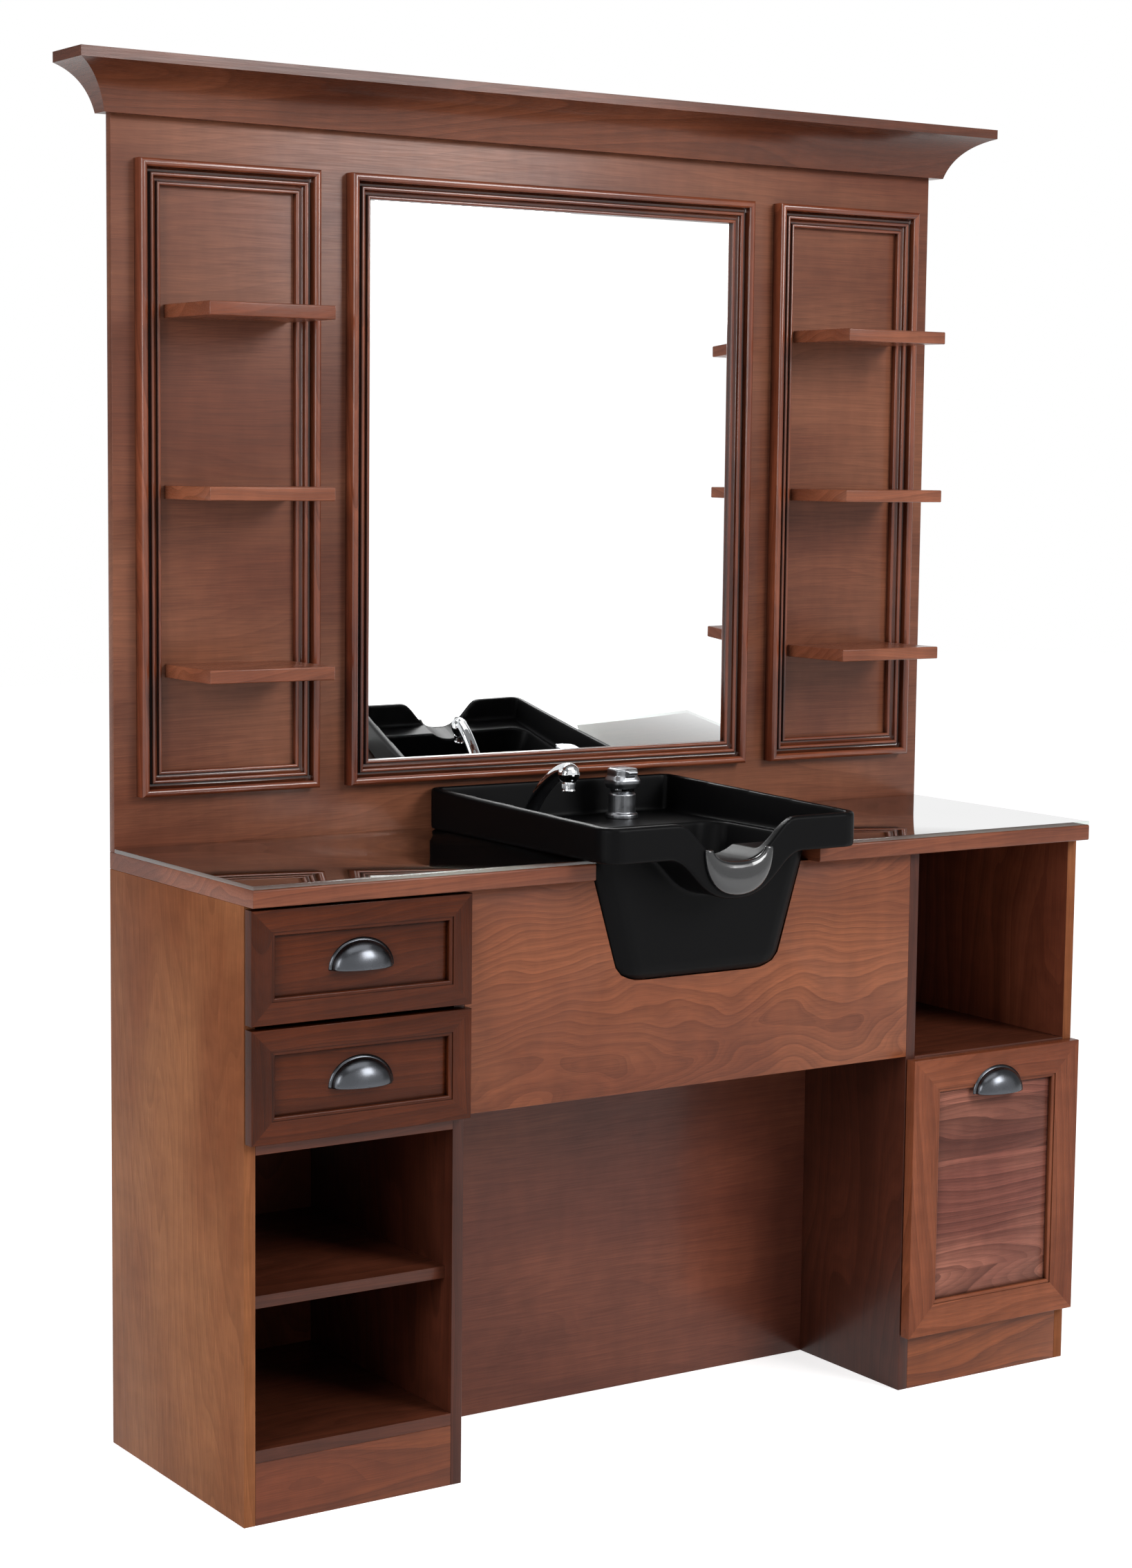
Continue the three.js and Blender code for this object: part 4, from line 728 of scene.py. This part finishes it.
# Drain and taps: brass castings, with bright chrome on the drain, spout and ball, and a
# satin grey plating on the mixer. They are bolted through the bowl, and the aerator is
# screwed on to the spout.
CHROME = "#d3d5d8"
SATIN = "#96989c"
TAP_VOXEL = 0.9 * MM
TRAP_VOXEL = 1.6 * MM
RIB_COUNT = 40
RIB_SIDES = 8
RIB_TURN = math.radians(40)
RIB_RADIUS = 0.6 * MM
AERATOR_WALL = 2 * MM
AERATOR_LIP = 1.2 * MM
AERATOR_STEPS = 48

chrome = plated("bright_chrome", CHROME, gloss=(0.04, 0.09), drift=25 * MM)
satin = plated("satin_plate", SATIN, gloss=(0.26, 0.36), drift=14.3 * MM)
cast("drain_strainer", chrome, TAP_VOXEL, rounds=2)
cast("drain_trap", chrome, TRAP_VOXEL, rounds=5)
cast("spout", chrome, TAP_VOXEL, rounds=6)
cast("mixer_body", satin, TAP_VOXEL, rounds=3)
cast("mixer_ball", chrome, TAP_VOXEL, rounds=3)
cast("mixer_handle", satin, TAP_VOXEL, rounds=4)


def ribbed(piece, material, count, ring, rib, length):
    """The piece with fine upright ribs round it, as one mesh: rib by rib on a circle."""
    tree = bpy.data.node_groups.new("ribs", "GeometryNodeTree")
    tree.interface.new_socket("Geometry", in_out="INPUT", socket_type="NodeSocketGeometry")
    sizes = {"Count": ("NodeSocketInt", count), "Ring Radius": ("NodeSocketFloat", ring),
             "Rib Radius": ("NodeSocketFloat", rib), "Rib Length": ("NodeSocketFloat", length)}
    sockets = {name: tree.interface.new_socket(name, in_out="INPUT", socket_type=kind)
               for name, (kind, _) in sizes.items()}
    tree.interface.new_socket("Geometry", in_out="OUTPUT", socket_type="NodeSocketGeometry")
    given = put(tree, "NodeGroupInput").outputs
    circle = put(tree, "GeometryNodeMeshCircle", {
        "Vertices": given["Count"], "Radius": given["Ring Radius"]})
    rod = put(tree, "GeometryNodeMeshCylinder", {
        "Vertices": RIB_SIDES, "Radius": given["Rib Radius"], "Depth": given["Rib Length"]})
    ribs = put(tree, "GeometryNodeInstanceOnPoints", {
        "Points": circle.outputs[0], "Instance": rod.outputs[0]})
    solid = put(tree, "GeometryNodeRealizeInstances", {0: ribs.outputs[0]})
    whole = put(tree, "GeometryNodeJoinGeometry", {0: given["Geometry"]})
    tree.links.new(solid.outputs[0], whole.inputs[0])
    plated_ribs = put(tree, "GeometryNodeSetMaterial", {0: whole.outputs[0], "Material": material})
    put(tree, "NodeGroupOutput", {0: plated_ribs.outputs[0]})
    ribbing = piece.modifiers.new("ribs", "NODES")
    ribbing.node_group = tree
    for name, (_, value) in sizes.items():
        ribbing[sockets[name].identifier] = value
    finished = as_mesh(piece).data
    finished.shade_smooth()
    finished.set_sharp_from_angle(angle=RIB_TURN)


def aerator():
    """A turned sleeve with a thin lip, and fine ribs round it to grip it by."""
    low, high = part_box("aerator")
    centre = (low + high) / 2
    radius = (high.x - low.x) / 2
    half = (high.z - low.z) / 2
    core = radius - RIB_RADIUS
    profile = [(core - AERATOR_WALL, half - AERATOR_WALL), (core - AERATOR_WALL, -half),
               (core, -half), (radius, -half + AERATOR_LIP), (core, -half + 2 * AERATOR_LIP),
               (core, half - AERATOR_LIP), (core - AERATOR_LIP, half)]
    rings = [[(out * math.cos(turn), out * math.sin(turn), up) for out, up in profile]
             for turn in (math.tau * i / AERATOR_STEPS for i in range(AERATOR_STEPS))]
    sleeve = lofted(rings, True, "aerator_chrome", [chrome], [0] * AERATOR_STEPS)
    ribbed(sleeve, chrome, RIB_COUNT, core, RIB_RADIUS, half)
    sleeve.data.transform(Matrix.Translation(centre))
    return sleeve


stand_for(aerator(), "aerator")

# Studio: a pale floor, two soft lamps and a white surround that the camera sees. White cards
# that only reflections show stand round it, for the mirror, the glass and the metal.
FLOOR_HALF = 14
FLOOR_GREY = "#e9e9e9"
FLOOR_LIFT = 0.7
FLOOR_GLOSS = (0.6, 0.7)
MOTTLE_SIZE = 0.5
SURROUND_LIGHT = 0.38
SURROUND_GLOSS = 0.3
CARDS = (
    ("front_card", (2.0, -7.5, 3.6), (2.0, 0, 3.6), (24.0, 7.2), 1.1),
    ("top_card", (0, -1.6, 3.6), (0, -1.6, 0), (3.2, 1.8), 2.4),
    ("side_card", (-3.4, -0.5, 1.5), (0, -0.5, 1.5), (1.2, 2.6), 1.8),
    ("back_card", (4.4, 4.0, 1.6), (0.6, 0, 0.9), (5.0, 3.0), 1.1),
)
LAMPS = (
    ("side", (-4.6, -1.5, 2.4), (-0.6, 0, 1.0), 2.0, 115),
    ("front", (2.3, -4.7, 3.6), (0, 0, 1.0), 2.2, 235),
)


def studio_floor():
    """Painted studio floor: white to the camera except where a shadow falls."""
    material, tree, output = blank_material("studio_floor")
    place = put(tree, "ShaderNodeTexCoord").outputs["Object"]
    mottle = put(tree, "ShaderNodeTexNoise", {"Vector": place, "Scale": 1 / MOTTLE_SIZE})
    gloss = put(tree, "ShaderNodeMapRange", {
        "Value": mottle.outputs[0], "To Min": FLOOR_GLOSS[0], "To Max": FLOOR_GLOSS[1]})
    paint = put(tree, "ShaderNodeBsdfPrincipled", {
        "Base Color": linear(FLOOR_GREY), "Roughness": gloss.outputs[0]})
    rays = put(tree, "ShaderNodeLightPath")
    seen = put(tree, "ShaderNodeMath", {
        0: rays.outputs["Is Camera Ray"], 1: rays.outputs["Is Glossy Ray"]}, operation="MAXIMUM")
    lift = put(tree, "ShaderNodeEmission", {"Strength": FLOOR_LIFT})
    dark = put(tree, "ShaderNodeEmission", {"Strength": 0})
    glow = put(tree, "ShaderNodeMixShader", {
        0: seen.outputs[0], 1: dark.outputs[0], 2: lift.outputs[0]})
    both = put(tree, "ShaderNodeAddShader", {0: paint.outputs[0], 1: glow.outputs[0]})
    tree.links.new(both.outputs[0], output.inputs[0])
    return material


floor_mesh = bmesh.new()
bmesh.ops.create_grid(floor_mesh, x_segments=1, y_segments=1, size=FLOOR_HALF)
floor = piece_from(floor_mesh, "studio_floor", [studio_floor()])


def white_card(name, light):
    """White card, lit evenly, as a reflection shows it."""
    material, tree, output = blank_material(name)
    glow = put(tree, "ShaderNodeEmission", {"Strength": light})
    tree.links.new(glow.outputs[0], output.inputs[0])
    return material


def facing(place, aim):
    """The turn of a lamp or card that looks from its place at its aim."""
    return (Vector(aim) - Vector(place)).to_track_quat("-Z", "Y").to_euler()


for card_name, place, aim, size, light in CARDS:
    card_mesh = bmesh.new()
    bmesh.ops.create_grid(card_mesh, x_segments=1, y_segments=1, size=0.5)
    card = piece_from(card_mesh, card_name, [white_card(card_name, light)])
    card.location = place
    card.rotation_euler = facing(place, aim)
    card.scale = (*size, 1)
    card.visible_camera = False
    card.visible_diffuse = False
    card.visible_shadow = False

world = bpy.data.worlds.new("studio")
bpy.context.scene.world = world
world.use_nodes = True
sky = world.node_tree
sky.nodes.clear()
rays = put(sky, "ShaderNodeLightPath")
seen = put(sky, "ShaderNodeMath", {
    0: rays.outputs["Is Camera Ray"], 1: rays.outputs["Is Transmission Ray"]}, operation="MAXIMUM")
gloss = put(sky, "ShaderNodeMapRange", {
    "Value": rays.outputs["Is Glossy Ray"], "To Min": SURROUND_LIGHT, "To Max": SURROUND_GLOSS})
level = put(sky, "ShaderNodeMapRange", {
    "Value": seen.outputs[0], "To Min": gloss.outputs[0], "To Max": 1.0})
surround = put(sky, "ShaderNodeBackground", {"Color": (1, 1, 1, 1), "Strength": level.outputs[0]})
put(sky, "ShaderNodeOutputWorld", {"Surface": surround.outputs[0]})

for lamp_name, place, aim, size, power in LAMPS:
    lamp = bpy.data.objects.new(lamp_name, bpy.data.lights.new(lamp_name, "AREA"))
    lamp.data.size = size
    lamp.data.energy = power
    lamp.location = place
    lamp.rotation_euler = facing(place, aim)
    bpy.context.scene.collection.objects.link(lamp)
